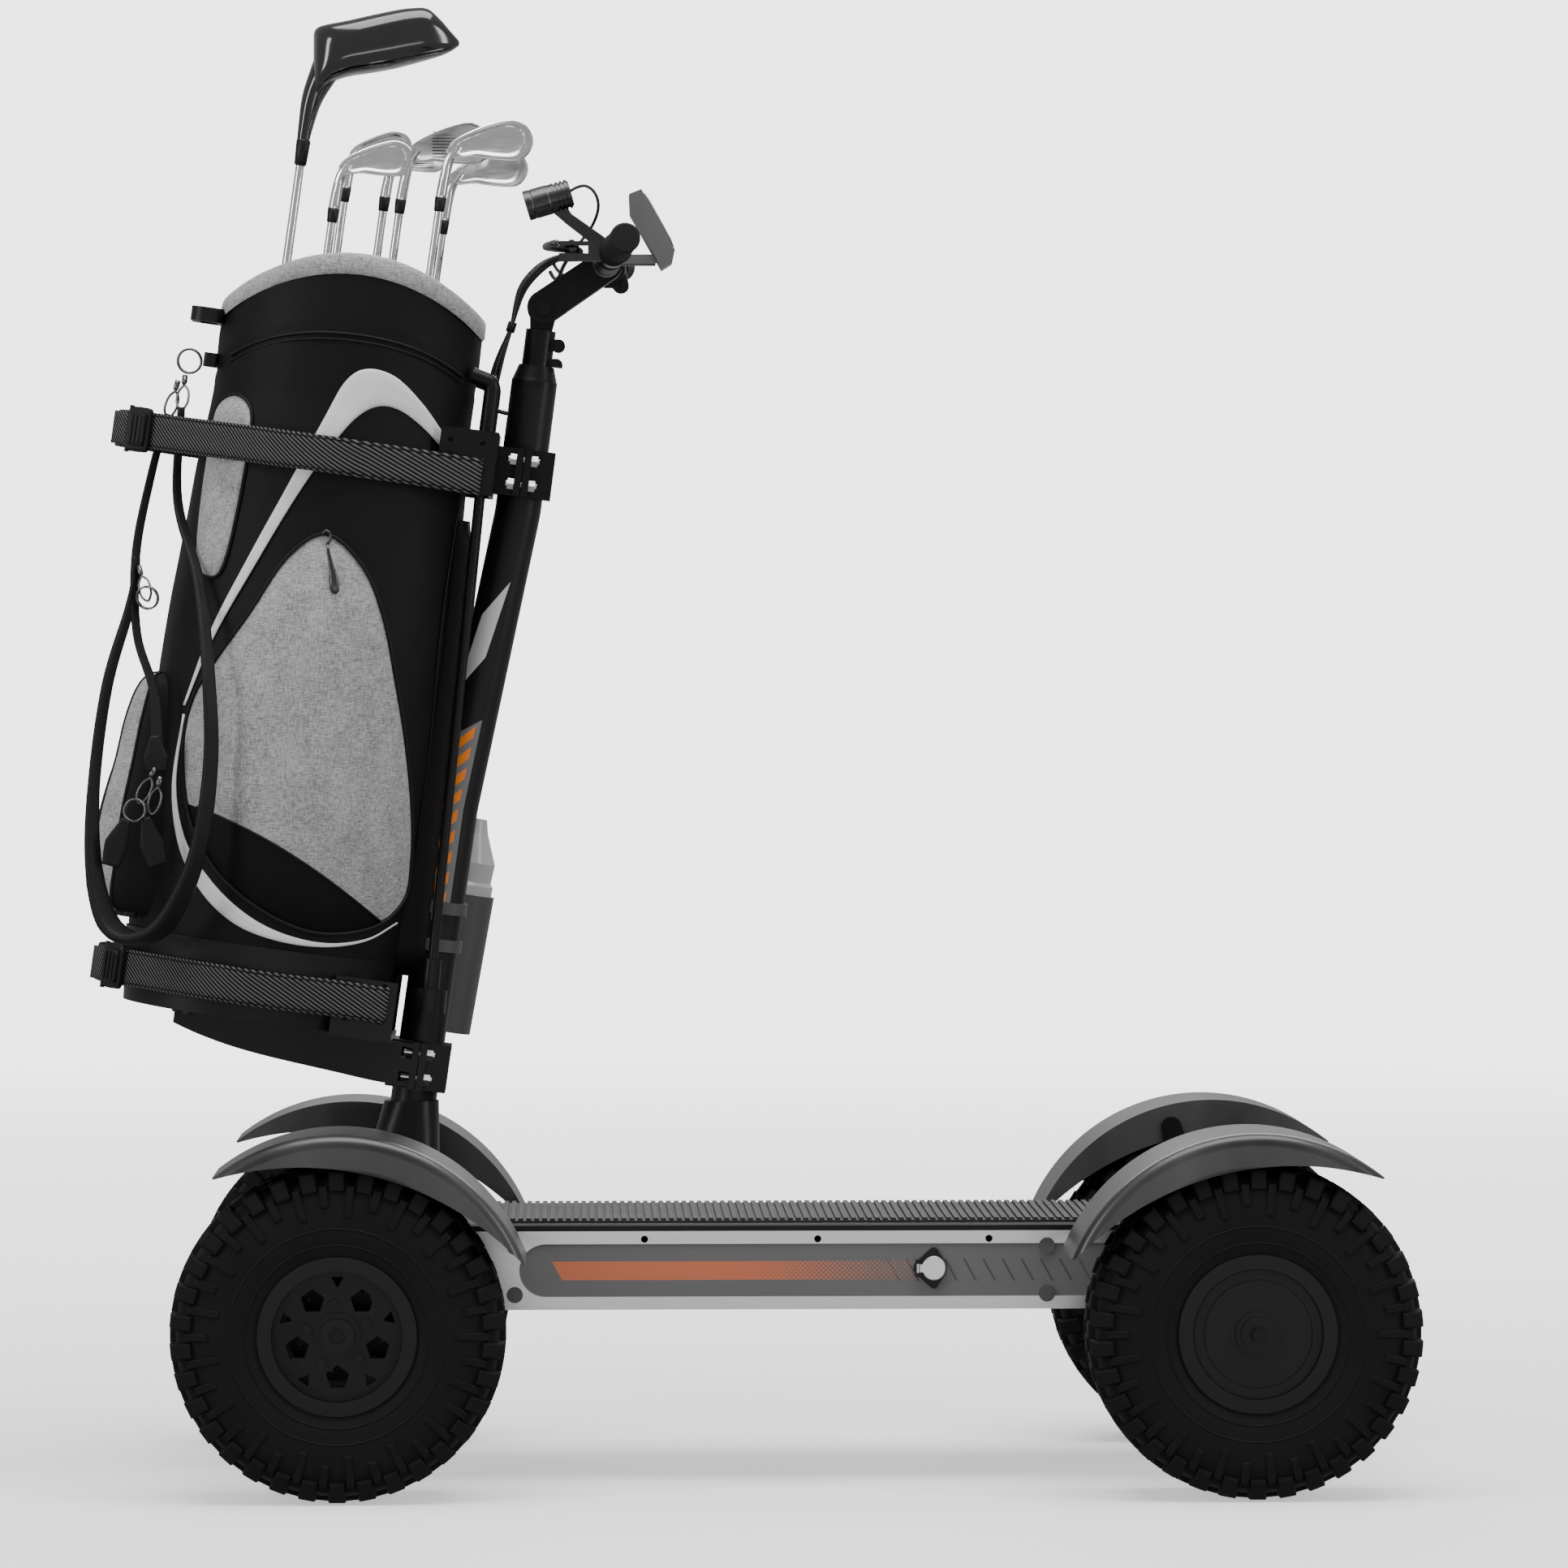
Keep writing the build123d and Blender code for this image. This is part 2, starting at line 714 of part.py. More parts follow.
with BuildPart() as deck_screws:
    for _, side in SIDES:
        with BuildSketch(side_plane(side * deck_half_width)):
            with Locations(*screw_spots):
                Circle(9)
        extrude(amount=-side * 2.5)
        with BuildSketch(side_plane(side * (deck_half_width - 12))):
            with Locations(*screw_spots):
                Circle(3)
        extrude(amount=-side * 12)
keep(deck_screws, "deck_screws")

battery_z = deck_bottom_z + rail_wall + floor_thickness
with BuildPart() as battery_pack:
    with BuildSketch(Plane.XY.offset(battery_z)):
        with Locations((-60, 0)):
            RectangleRounded(battery_size[0], battery_size[1], 8)
    extrude(amount=battery_size[2])
    fillet(edges().group_by(Axis.Z)[-1], 4)
keep(battery_pack, "battery_pack")

with BuildPart() as motor_controller:
    with BuildSketch(Plane.XY.offset(battery_z)):
        with Locations((400, 0)):
            Rectangle(controller_size[0], controller_size[1])
    extrude(amount=controller_size[2])
    with BuildSketch(Plane.XY.offset(battery_z + controller_size[2])):
        with Locations((400, 0)):
            with GridLocations(14, 1, 8, 1):
                Rectangle(7, controller_size[1] - 10)
    extrude(amount=-8, mode=Mode.SUBTRACT)
keep(motor_controller, "motor_controller")

charge_z = deck_mid_z + 2
flange_thickness = 2.0
hinge_x = charge_x - charge_cover_radius - 3
hinge_y = -deck_half_width - flange_thickness - 2.8
with BuildPart() as charge_port:
    with BuildSketch(side_plane(-deck_half_width + rail_wall + 14)):
        with Locations((charge_x, charge_z)):
            Circle(charge_radius)
    extrude(amount=rail_wall + 14 - inset_depth)
    with BuildSketch(side_plane(-deck_half_width + inset_depth)):
        with Locations((charge_x, charge_z)):
            Circle(charge_cover_radius)
        with Locations((charge_x, charge_z - 18), (charge_x, charge_z + 18)):
            Circle(5)
        with Locations((hinge_x + 4, charge_z)):
            Circle(9)
        make_hull()
    extrude(amount=flange_thickness + inset_depth)
    with BuildSketch(side_plane(-deck_half_width - flange_thickness)):
        with Locations((charge_x, charge_z)):
            Circle(7)
    extrude(amount=-12, mode=Mode.SUBTRACT)
    for dz in (-7.5, 7.5):
        with Locations((hinge_x + 0.5, hinge_y + 1.3, charge_z + dz)):
            Box(6, 7, 4)
    with Locations((hinge_x, hinge_y, charge_z)):
        Cylinder(1.2, 17)
keep(charge_port, "charge_port")

with BuildPart() as charge_cover:
    with BuildSketch(side_plane(-deck_half_width - flange_thickness - rest_gap)):
        with Locations((charge_x, charge_z)):
            Circle(charge_cover_radius - 1)
    extrude(amount=4)
    fillet(faces().sort_by(Axis.Y)[0].edges(), 1.5)
    with Locations((hinge_x, hinge_y, charge_z)):
        Cylinder(2.4, 10)
    with Locations((hinge_x + 4, hinge_y, charge_z)):
        Box(6, 3, 9)
    with Locations((hinge_x, hinge_y, charge_z)):
        Cylinder(1.2 + running_gap, 20, mode=Mode.SUBTRACT)
keep(charge_cover, "charge_cover")

# ---- Column ------------------------------------------------------------------------------

column_route = [
    Vector(p[0], 0, p[1]) for p in (column_foot, column_knee, column_elbow, column_top)
]
with BuildPart() as steering_column:
    round_tube(
        column_route,
        [column_bend_radius] * 2,
        column_radius,
        column_radius - column_wall,
    )
    # Hole for the cables, in front of the sleeve
    gland_plane = Plane(on_steer_axis(gland_z), x_dir=(0, 1, 0), z_dir=-steer_across)
    with BuildSketch(gland_plane):
        Circle(gland_radius)
    extrude(amount=column_radius + 5, mode=Mode.SUBTRACT)
keep(steering_column, "steering_column")

with BuildPart() as steering_head:
    for low, high, size_low, size_high in (
        (deck_top_z, 353.0, (132.0, 150.0, 18.0), (82.0, 84.0, 26.0)),
        (353.0, deck_top_z + head_height, (82.0, 84.0, 26.0), (62.0, 62.0, 30.5)),
    ):
        for z, (long, wide, corner) in ((low, size_low), (high, size_high)):
            with BuildSketch(Plane((on_lower_column(z).X - 2, 0, z))):
                RectangleRounded(long, wide, corner)
        loft()
    foot_plane = Plane(column_route[0], z_dir=column_route[1] - column_route[0])
    with BuildSketch(foot_plane):
        Circle(column_radius)
    extrude(amount=200, mode=Mode.SUBTRACT)
keep(steering_head, "steering_head")

bore = steerer_radius + running_gap
with BuildPart() as collar:
    with BuildSketch(Plane(column_end, x_dir=steer_across, z_dir=(0, -1, 0))):
        with BuildLine():
            Polyline(
                (bore, 0),
                (column_radius, 0),
                (column_radius, 8),
                (column_radius - 1.5, 12),
                (column_radius - 6, collar_height),
                (bore, collar_height),
                close=True,
            )
        make_face()
    revolve(axis=Axis(column_end, steer_dir))
with BuildPart() as head_bearings:
    for drop in (bearing_width, steerer_in_sleeve):
        with BuildSketch(across(column_end - steer_dir * drop, steer_dir)):
            Circle(column_radius - column_wall)
            Circle(bore, mode=Mode.SUBTRACT)
        extrude(amount=bearing_width)
keep_group([collar, head_bearings], "headset")

# ---- Steering and stem -------------------------------------------------------------------

pivot = Vector(pivot_point[0], 0, pivot_point[1])
bar_middle = Vector(bar_point[0], 0, bar_point[1])
pinch_spots = ((1257.0, 15.0), (1279.0, 15.0))

with BuildPart() as steerer_tube:
    foot = column_end - steer_dir * steerer_in_sleeve
    neck_length = (pivot - foot).length - 26
    with BuildSketch(across(foot, steer_dir)):
        Circle(steerer_radius)
        Circle(steerer_radius - 4, mode=Mode.SUBTRACT)
    extrude(amount=neck_length)
    with BuildSketch(across(foot + steer_dir * neck_length, steer_dir)):
        Circle(steerer_radius)
    extrude(amount=-10)
    # Tongue for the tilting arm
    with BuildSketch(Plane((0, tongue_half, 0), x_dir=(1, 0, 0), z_dir=(0, -1, 0))):
        with Locations(pivot_point):
            Circle(arm_lug_radius - 3)
        tongue_foot = pivot - steer_dir * 30
        with Locations((tongue_foot.X, tongue_foot.Z)):
            Circle(12)
        make_hull()
    extrude(amount=2 * tongue_half)
    # Pinch ears and their screws at the back
    for z, reach in pinch_spots:
        spot = on_steer_axis(z) + steer_across * (steerer_radius + 5)
        with BuildSketch(Plane((spot.X, 11, spot.Z), x_dir=(1, 0, 0), z_dir=(0, -1, 0))):
            Circle(7.5)
            with Locations((-9, 1)):
                Rectangle(14, 13)
        extrude(amount=22)
        with BuildSketch(Plane((spot.X, 15, spot.Z), x_dir=(1, 0, 0), z_dir=(0, -1, 0))):
            Circle(5.6)
        extrude(amount=30)
    with BuildSketch(across(column_end, steer_dir)):
        Circle(column_radius + 20)
        Circle(steerer_radius, mode=Mode.SUBTRACT)
    extrude(amount=collar_height + 1, mode=Mode.SUBTRACT)
    with BuildSketch(side_plane(tongue_half + 1)):
        with Locations(pivot_point):
            Circle(pivot_bolt_radius + running_gap)
    extrude(amount=2 * tongue_half + 2, mode=Mode.SUBTRACT)
keep(steerer_tube, "steerer_tube")

arm_dir = (bar_middle - pivot).normalized()
with BuildPart() as stem_arm:
    with BuildSketch(side_plane(arm_half)):
        with Locations(pivot_point):
            Circle(arm_lug_radius)
        with Locations(bar_point):
            Circle(bar_clamp_radius)
        make_hull()
    extrude(amount=2 * arm_half)
    slot_half = tongue_half + rest_gap
    with BuildSketch(side_plane(slot_half)):
        with Locations(pivot_point):
            Circle(arm_lug_radius + 8)
    extrude(amount=2 * slot_half, mode=Mode.SUBTRACT)
    with BuildSketch(side_plane(arm_half + 1)):
        with Locations(bar_point):
            Circle(bar_radius)
    extrude(amount=2 * arm_half + 2, mode=Mode.SUBTRACT)
    # Pivot bolt with its two heads
    with BuildSketch(side_plane(arm_half + 4)):
        with Locations(pivot_point):
            Circle(pivot_bolt_radius)
    extrude(amount=2 * arm_half + 8)
    for y in (arm_half + 4, -arm_half):
        with BuildSketch(side_plane(y)):
            with Locations(pivot_point):
                Circle(9.3)
        extrude(amount=4)
keep(stem_arm, "stem_arm")


def bar_route(side):
    """The bar's centreline on one side, from the middle to its end."""
    bend = bar_middle + Vector(0, side * bar_flat, 0)
    end = bar_middle + Vector(bar_sweep, side * bar_half_length, bar_rise)
    return bend, end


def along_bar(y):
    """The point and the outward direction of the bar at a sideways place."""
    bend, end = bar_route(1 if y > 0 else -1)
    outward = (end - bend).normalized()
    return bend + (end - bend) * ((abs(y) - bar_flat) / (bar_half_length - bar_flat)), outward


with BuildPart() as handlebar:
    left_bend, left_end = bar_route(-1)
    right_bend, right_end = bar_route(1)
    round_tube(
        [left_end, left_bend, right_bend, right_end],
        [150, 150],
        bar_radius,
        bar_radius - 2.5,
    )
keep(handlebar, "handlebar")


def bar_ring(y, width, outer):
    """Adds a ring that grips the bar at a sideways place."""
    middle, outward = along_bar(y)
    with BuildSketch(Plane(middle, z_dir=outward)) as ring:
        Circle(outer)
        Circle(bar_radius, mode=Mode.SUBTRACT)
    extrude(ring.sketch, amount=width / 2, both=True)


with BuildPart() as grips:
    for _, side in SIDES:
        end, outward = along_bar(side * bar_half_length)
        with BuildSketch(Plane(end, z_dir=outward)):
            Circle(grip_radius)
            Circle(bar_radius, mode=Mode.SUBTRACT)
        extrude(amount=-grip_length)
        with BuildSketch(Plane(end, z_dir=outward)):
            Circle(grip_radius)
        extrude(amount=4)
keep(grips, "grips")

lever_pivot_offset = Vector(-46, 0, 4)
lever_clamp_point, lever_out = along_bar(lever_clamp_y)
lever_pivot = lever_clamp_point + lever_pivot_offset
with BuildPart() as lever_clamp:
    bar_ring(lever_clamp_y, 18, 16)
    with Locations(lever_clamp_point + Vector(-30, 0, 2)):
        Box(34, 16, 22)
    with Locations(lever_clamp_point + Vector(-50, 0, 2)):
        Box(20, 22, 22)
    with Locations(lever_pivot):
        Cylinder(20, 9, mode=Mode.SUBTRACT)
    with BuildSketch(Plane(lever_clamp_point + Vector(-38, 9.2, 2), z_dir=(0, 1, 0))):
        Circle(5)
    extrude(amount=18)
    with BuildSketch(Plane(lever_clamp_point, z_dir=lever_out)):
        Circle(bar_radius)
    extrude(amount=40, both=True, mode=Mode.SUBTRACT)
    with Locations(lever_pivot):
        Cylinder(3, 22)
keep(lever_clamp, "lever_clamp")

with BuildPart() as brake_lever:
    with BuildSketch(Plane(lever_pivot, x_dir=(1, 0, 0), z_dir=(0, 0, 1))) as blade:
        with BuildLine():
            Spline((5, 5), (-12, -4), (-24, -40), (-22, -90), (-12, -128))
            Line((-12, -128), (-20, -131))
            Spline((-20, -131), (-30, -92), (-32, -40), (-20, 4), (-5, 8))
            Line((-5, 8), (5, 5))
        make_face()
    extrude(amount=8 / 2, both=True)
    with Locations(lever_pivot):
        Cylinder(9, 8)
        Cylinder(3 + running_gap, 12, mode=Mode.SUBTRACT)
    with BuildSketch(Plane(lever_pivot + Vector(0, 13, 0), x_dir=(1, 0, 0), z_dir=(0, 0, 1))):
        with Locations((0, 8)):
            Rectangle(60, 16)
    extrude(amount=10, both=True, mode=Mode.SUBTRACT)
keep(brake_lever, "brake_lever")

throttle_point, throttle_out = along_bar(throttle_y)
with BuildPart() as throttle_housing:
    bar_ring(throttle_y - 13.4, 16, 16.5)
    with Locations(throttle_point + Vector(-2, -13.4, -17)):
        Box(16, 12, 12)
    with BuildSketch(Plane(throttle_point, z_dir=throttle_out)):
        Circle(bar_radius)
    extrude(amount=40, both=True, mode=Mode.SUBTRACT)
keep(throttle_housing, "throttle_housing")

with BuildPart() as throttle_paddle:
    with BuildSketch(Plane(throttle_point, x_dir=(1, 0, 0), z_dir=throttle_out)):
        Circle(15)
        with Locations((10, 20)):
            Circle(9)
        make_hull()
        Circle(bar_radius + rest_gap, mode=Mode.SUBTRACT)
    extrude(amount=5, both=True)
keep(throttle_paddle, "throttle_paddle")

display_outline = (
    (-108.8, 1452.8),
    (-122.7, 1447.3),
    (-121.7, 1426.0),
    (-85.6, 1363.0),
    (-73.6, 1370.4),
    (-70.8, 1384.3),
)
with BuildPart() as display_unit:
    with BuildSketch(side_plane(34)):
        Polygon(*display_outline, align=None)
    extrude(amount=68)
    for y in (-27, 27):
        with BuildSketch(side_plane(y + 4)):
            with Locations(bar_point):
                Circle(15)
        extrude(amount=8)
        with BuildSketch(side_plane(y + 4)):
            with Locations(((bar_point[0] + -92) / 2, 1374)):
                Rectangle(-92 - bar_point[0], 10)
        extrude(amount=8)
    with BuildSketch(side_plane(60)):
        with Locations(bar_point):
            Circle(bar_radius)
    extrude(amount=120, mode=Mode.SUBTRACT)
keep(display_unit, "display_unit")

light_axis = Vector(-50, 0, -14.8).normalized()
light_middle = Vector(-213.5, light_y, 1438.0)
light_lug_half = 4.0
with BuildPart() as headlight_arm:
    with BuildSketch(side_plane(light_y + 6)):
        with Locations(bar_point):
            Circle(16)
    extrude(amount=12)
    for y in (light_y + light_lug_half + rest_gap + 4, light_y - light_lug_half - rest_gap):
        with BuildSketch(side_plane(y)):
            with Locations(light_pivot):
                Circle(6)
            with Locations((-158, 1392)):
                Circle(7)
            make_hull()
        extrude(amount=4)
    with BuildSketch(side_plane(light_y + 8)):
        with Locations((-157, 1390)):
            Circle(8)
        with Locations((-150, 1376)):
            Circle(8)
        make_hull()
    extrude(amount=16)
    with BuildSketch(side_plane(light_y + 30)):
        with Locations(bar_point):
            Circle(bar_radius)
    extrude(amount=60, mode=Mode.SUBTRACT)
    with BuildSketch(side_plane(light_y + 8 + rest_gap)):
        with Locations(light_pivot):
            Circle(2.5)
    extrude(amount=16 + 2 * rest_gap)
keep(headlight_arm, "headlight_arm")

with BuildPart() as headlight:
    with BuildSketch(Plane(light_middle - light_axis * 26, z_dir=light_axis)):
        Circle(light_radius - 2)
    extrude(amount=20)
    with BuildSketch(Plane(light_middle - light_axis * 8, z_dir=light_axis)):
        Circle(light_radius)
    extrude(amount=34)
    with BuildSketch(Plane(light_middle + light_axis * 26, z_dir=light_axis)):
        Circle(light_radius - 2.5)
    extrude(amount=-3, mode=Mode.SUBTRACT)
    for fin in range(4):
        with BuildSketch(Plane(light_middle - light_axis * (24 - fin * 5), z_dir=light_axis)):
            Circle(light_radius)
        extrude(amount=2)
    with BuildSketch(side_plane(light_y + light_lug_half)):
        with Locations(light_pivot):
            Circle(6)
        with Locations((-205, 1432)):
            Circle(9)
        make_hull()
    extrude(amount=2 * light_lug_half)
    with BuildSketch(side_plane(light_y + 6)):
        with Locations(light_pivot):
            Circle(2.5 + running_gap)
    extrude(amount=12, mode=Mode.SUBTRACT)
keep(headlight, "headlight")

# ---- Cables ------------------------------------------------------------------------------

cable_radius = 4.5
gland_middle = on_steer_axis(gland_z)
lower_cable_points = [
    (-256.0, -6, 1298.0),
    (-264.5, -4, 1270.0),
    (-271.0, -2, 1242.0),
    (-277.5, 0, 1215.0),
    gland_middle - steer_across * 42,
    gland_middle - steer_across * (column_radius - column_wall),
]
upper_cable_points = [
    (-164.0, -27, 1372.0),
    (-182.0, -29, 1378.0),
    (-202.0, -30, 1373.0),
    (-219.0, -26, 1362.0),
    (-232.0, -18, 1351.0),
]
for name, points in (("lower_cable", lower_cable_points), ("upper_cable", upper_cable_points)):
    radii = widest_radii(points)
    print(name, "bend radii", [round(r) for r in radii])
    with BuildPart() as cable:
        round_tube(points, radii, cable_radius)
    keep(cable, name)

# ---- Bag carrier -------------------------------------------------------------------------


def clamp_sketch(front):
    """Draws one half of a column clamp: negative x is the bag's side."""
    sign = -1 if front else 1
    gap = clamp_gap / 2
    with Locations((sign * (gap + 17), 0)):
        Rectangle(34, 2 * 33)
    with Locations((sign * (gap + clamp_ear / 2), 0)):
        Rectangle(clamp_ear, 2 * clamp_half_width)
    Circle(column_radius, mode=Mode.SUBTRACT)


upper_clamp_centre = on_steer_axis(upper_clamp_z)
lower_clamp_centre = on_lower_column(lower_clamp_z)
lower_dir = (column_route[1] - column_route[0]).normalized()
clamps = ((upper_clamp_centre, steer_dir), (lower_clamp_centre, lower_dir))
bolt_spots = [(y, z) for y in (-41.0, 41.0) for z in (-14.0, 14.0)]


def clamp_half(centre, up, front):
    with BuildSketch(across(centre - up * clamp_half_height, up)) as half:
        clamp_sketch(front)
    extrude(half.sketch, amount=2 * clamp_half_height)


def bolt_holes(centre, up):
    back = Vector(up.Z, 0, -up.X)
    with BuildSketch(Plane(centre - back * 60, x_dir=(0, 1, 0), z_dir=back)) as holes:
        with Locations(*bolt_spots):
            Circle(clamp_bolt_radius)
    extrude(holes.sketch, amount=120, mode=Mode.SUBTRACT)


with BuildPart() as clamp_caps:
    for centre, up in clamps:
        clamp_half(centre, up, front=False)
        bolt_holes(centre, up)
keep(clamp_caps, "clamp_caps")

with BuildPart() as clamp_bolts:
    for centre, up in clamps:
        back = Vector(up.Z, 0, -up.X)
        reach = clamp_gap / 2 + clamp_ear
        with BuildSketch(Plane(centre - back * (reach + 9), x_dir=(0, 1, 0), z_dir=back)):
            with Locations(*bolt_spots):
                Circle(clamp_bolt_radius)
        extrude(amount=2 * reach + 18)
        for start in (-reach - 7, reach):
            with BuildSketch(Plane(centre + back * start, x_dir=(0, 1, 0), z_dir=back)):
                with Locations(*bolt_spots):
                    RegularPolygon(clamp_nut_radius, 6)
            extrude(amount=7)
keep(clamp_bolts, "clamp_bolts")

cradle_half = 95.0
cradle_low, cradle_high = -32.0, 40.0
with BuildPart() as upper_bag_bracket:
    clamp_half(upper_clamp_centre, steer_dir, front=True)
    cradle = across(upper_clamp_centre + steer_dir * cradle_low, steer_dir)
    with BuildSketch(cradle):
        with Locations((-33, 0)):
            Rectangle(plate, 2 * cradle_half)
        for side in (-1, 1):
            with Locations((-65, side * (cradle_half - plate / 2))):
                Rectangle(62, plate)
    extrude(amount=cradle_high - cradle_low)
    bolt_holes(upper_clamp_centre, steer_dir)
    plate_plane = Plane(
        upper_clamp_centre + Vector(0, 0, 0), x_dir=steer_across, z_dir=(0, -1, 0)
    )
    with BuildSketch(plate_plane):
        with Locations((-66, 4)):
            with GridLocations(36, 44, 2, 2):
                Circle(3)
    extrude(amount=cradle_half + 5, both=True, mode=Mode.SUBTRACT)
keep(upper_bag_bracket, "upper_bag_bracket")

shelf_half = 85.0
strap_plate_y = 104.0
column_v = (lower_clamp_centre - bag_origin).dot(bag_across)
with BuildPart() as lower_bag_shelf:
    with BuildSketch(bag_plane(-plate)):
        with Locations((30, 0)):
            RectangleRounded(250, 2 * shelf_half, 30)
        with Locations((120, 0)):
            Rectangle(74, 2 * (strap_plate_y + plate))
    extrude(amount=plate)
    for side in (-1, 1):
        with BuildSketch(bag_side(side * 48)):
            with BuildLine():
                Polyline(
                    (column_v - 8, -plate),
                    (-92, -plate),
                    (-92, -17),
                )
                Spline((-92, -17), (-33, -33), (100, -48), (148, -52), (column_v - 8, -52))
                Line((column_v - 8, -52), (column_v - 8, -plate))
            make_face()
        extrude(amount=plate / 2, both=True)
        with BuildSketch(bag_side(side * (strap_plate_y + plate / 2))):
            with Locations((120, 30)):
                Rectangle(70, 68)
            with Locations((120, 38)):
                with GridLocations(40, 40, 2, 2):
                    Circle(3, mode=Mode.SUBTRACT)
        extrude(amount=plate / 2, both=True)
    clamp_half(lower_clamp_centre, lower_dir, front=True)
    with BuildSketch(across(lower_clamp_centre - lower_dir * 60, lower_dir)):
        Circle(column_radius)
        with Locations((column_radius, 0)):
            Rectangle(2 * column_radius, 4 * column_radius)
    extrude(amount=140, mode=Mode.SUBTRACT)
    bolt_holes(lower_clamp_centre, lower_dir)
    # The gusset plates are notched where a nut turns beside them
    back = Vector(lower_dir.Z, 0, -lower_dir.X)
    nut_face = lower_clamp_centre - back * (clamp_gap / 2 + clamp_ear)
    with BuildSketch(Plane(nut_face, x_dir=(0, 1, 0), z_dir=-back)):
        with Locations(*[(y, -z) for y, z in bolt_spots]):
            Circle(clamp_nut_radius + 4)
    extrude(amount=12, mode=Mode.SUBTRACT)
keep(lower_bag_shelf, "lower_bag_shelf")


def strap_hull(front_v, front_r, belly_r, plate_v, plate_y):
    """Draws the loop of a strap seen along the bag, up to the front ends of its plates."""
    with Locations((front_v + front_r, 0)):
        Circle(front_r)
    with Locations((-22, 0)):
        Circle(belly_r)
    with Locations((plate_v, plate_y - 8), (plate_v, 8 - plate_y)):
        Circle(8)
    make_hull()


def build_strap(name, u, loop, end_v, buckle_at):
    front_v, front_r, belly_r, plate_v, plate_y = loop
    across_v, along_y, turn = buckle_at
    with BuildPart() as webbing:
        with BuildSketch(bag_plane(u - strap_width / 2)):
            strap_hull(*loop)
            offset(amount=-strap_thickness, mode=Mode.SUBTRACT)
            with Locations((plate_v + 100, 0)):
                Rectangle(200, 300, mode=Mode.SUBTRACT)
            for side in (-1, 1):
                with Locations(((plate_v + end_v) / 2, side * (plate_y - strap_thickness / 2))):
                    Rectangle(end_v - plate_v, strap_thickness)
        extrude(amount=strap_width)
    # The buckle hugs the outside of the webbing
    with BuildPart() as buckle:
        with BuildSketch(bag_plane(u - strap_width / 2 - 5)):
            with Locations(Location((across_v, along_y, 0), turn)):
                RectangleRounded(34, 22, 4)
        extrude(amount=strap_width + 10)
        with BuildSketch(bag_plane(u - strap_width)):
            strap_hull(*loop)
        extrude(amount=2 * strap_width, mode=Mode.SUBTRACT)
    keep_group([webbing, buckle], name)


upper_loop = (-250.0, 62.0, 150.0, 124.0, cradle_half + strap_thickness)
lower_loop = (-190.0, 90.0, 133.0, 90.0, strap_plate_y + plate + strap_thickness)
build_strap("upper_strap", 640.0, upper_loop, 172.0, (-224, -50, -52))
build_strap("lower_strap", 38.0, lower_loop, 150.0, (-170, -64, -52))

# ---- Bag ---------------------------------------------------------------------------------


def bag_shell(inset, low, high):
    """Lofts the bag's skin between two of its rings, pulled in by a wall."""
    rings = []
    for u, middle, half_v, half_y in bag_rings[low:high]:
        with BuildSketch(bag_plane(u)) as ring:
            with Locations((middle, 0)):
                Ellipse(half_v - inset, half_y - inset)
        rings.append(ring.sketch)
    loft(rings, ruled=True)


def under_arch(drop):
    """A slab of everything under the bag's arched mouth, lowered by a step."""
    (x0, y0), (x1, y1), (x2, y2) = bag_arch
    reach = 260.0
    with BuildPart() as slab:
        with BuildSketch(bag_side(300)):
            with BuildLine():
                ThreePointArc((x0, y0 - drop), (x1, y1 - drop), (x2, y2 - drop))
                Polyline((x2, y2 - drop), (reach, y2 - drop), (reach, -60), (-reach, -60))
                Polyline((-reach, -60), (-reach, y0 - drop), (x0, y0 - drop))
            make_face()
        extrude(amount=600)
    return slab.part


with BuildPart() as bag_skin:
    bag_shell(0, 0, len(bag_rings))
with BuildPart() as bag_hollow:
    bag_shell(bag_wall, 0, len(bag_rings))

bag_under_rim = under_arch(bag_rim_height)
with BuildPart() as bag_body:
    add(bag_skin.part)
    add(bag_hollow.part, mode=Mode.SUBTRACT)
    add(bag_under_rim, mode=Mode.INTERSECT)
keep(bag_body, "bag_body")

# Padded dividers cross the mouth between the clubs
divider_places = (-60.0, 56.0)
with BuildPart() as dividers:
    with BuildSketch(bag_plane(804)):
        with Locations(*[(v, 0) for v in divider_places]):
            Rectangle(8, 260)
    extrude(amount=22)
    add(bag_hollow.part, mode=Mode.INTERSECT)

with BuildPart() as bag_rim:
    add(bag_skin.part)
    add(bag_hollow.part, mode=Mode.SUBTRACT)
    add(under_arch(0), mode=Mode.INTERSECT)
    add(bag_under_rim, mode=Mode.SUBTRACT)
    add(dividers.part)
keep(bag_rim, "bag_rim")

with BuildPart() as clearance:
    bag_shell(-0.2, 0, len(bag_rings))

with BuildPart() as bag_base:
    with BuildSketch(bag_plane(0)):
        with Locations((-4, 0)):
            Ellipse(150, 118)
    with BuildSketch(bag_plane(bag_base_height)):
        with Locations((-4, 0)):
            Ellipse(158, 125)
    loft()
    with BuildSketch(bag_plane(bag_wall)):
        with Locations((-4, 0)):
            Ellipse(150 - bag_wall, 118 - bag_wall)
    extrude(amount=bag_base_height, mode=Mode.SUBTRACT)
keep(bag_base, "bag_base")

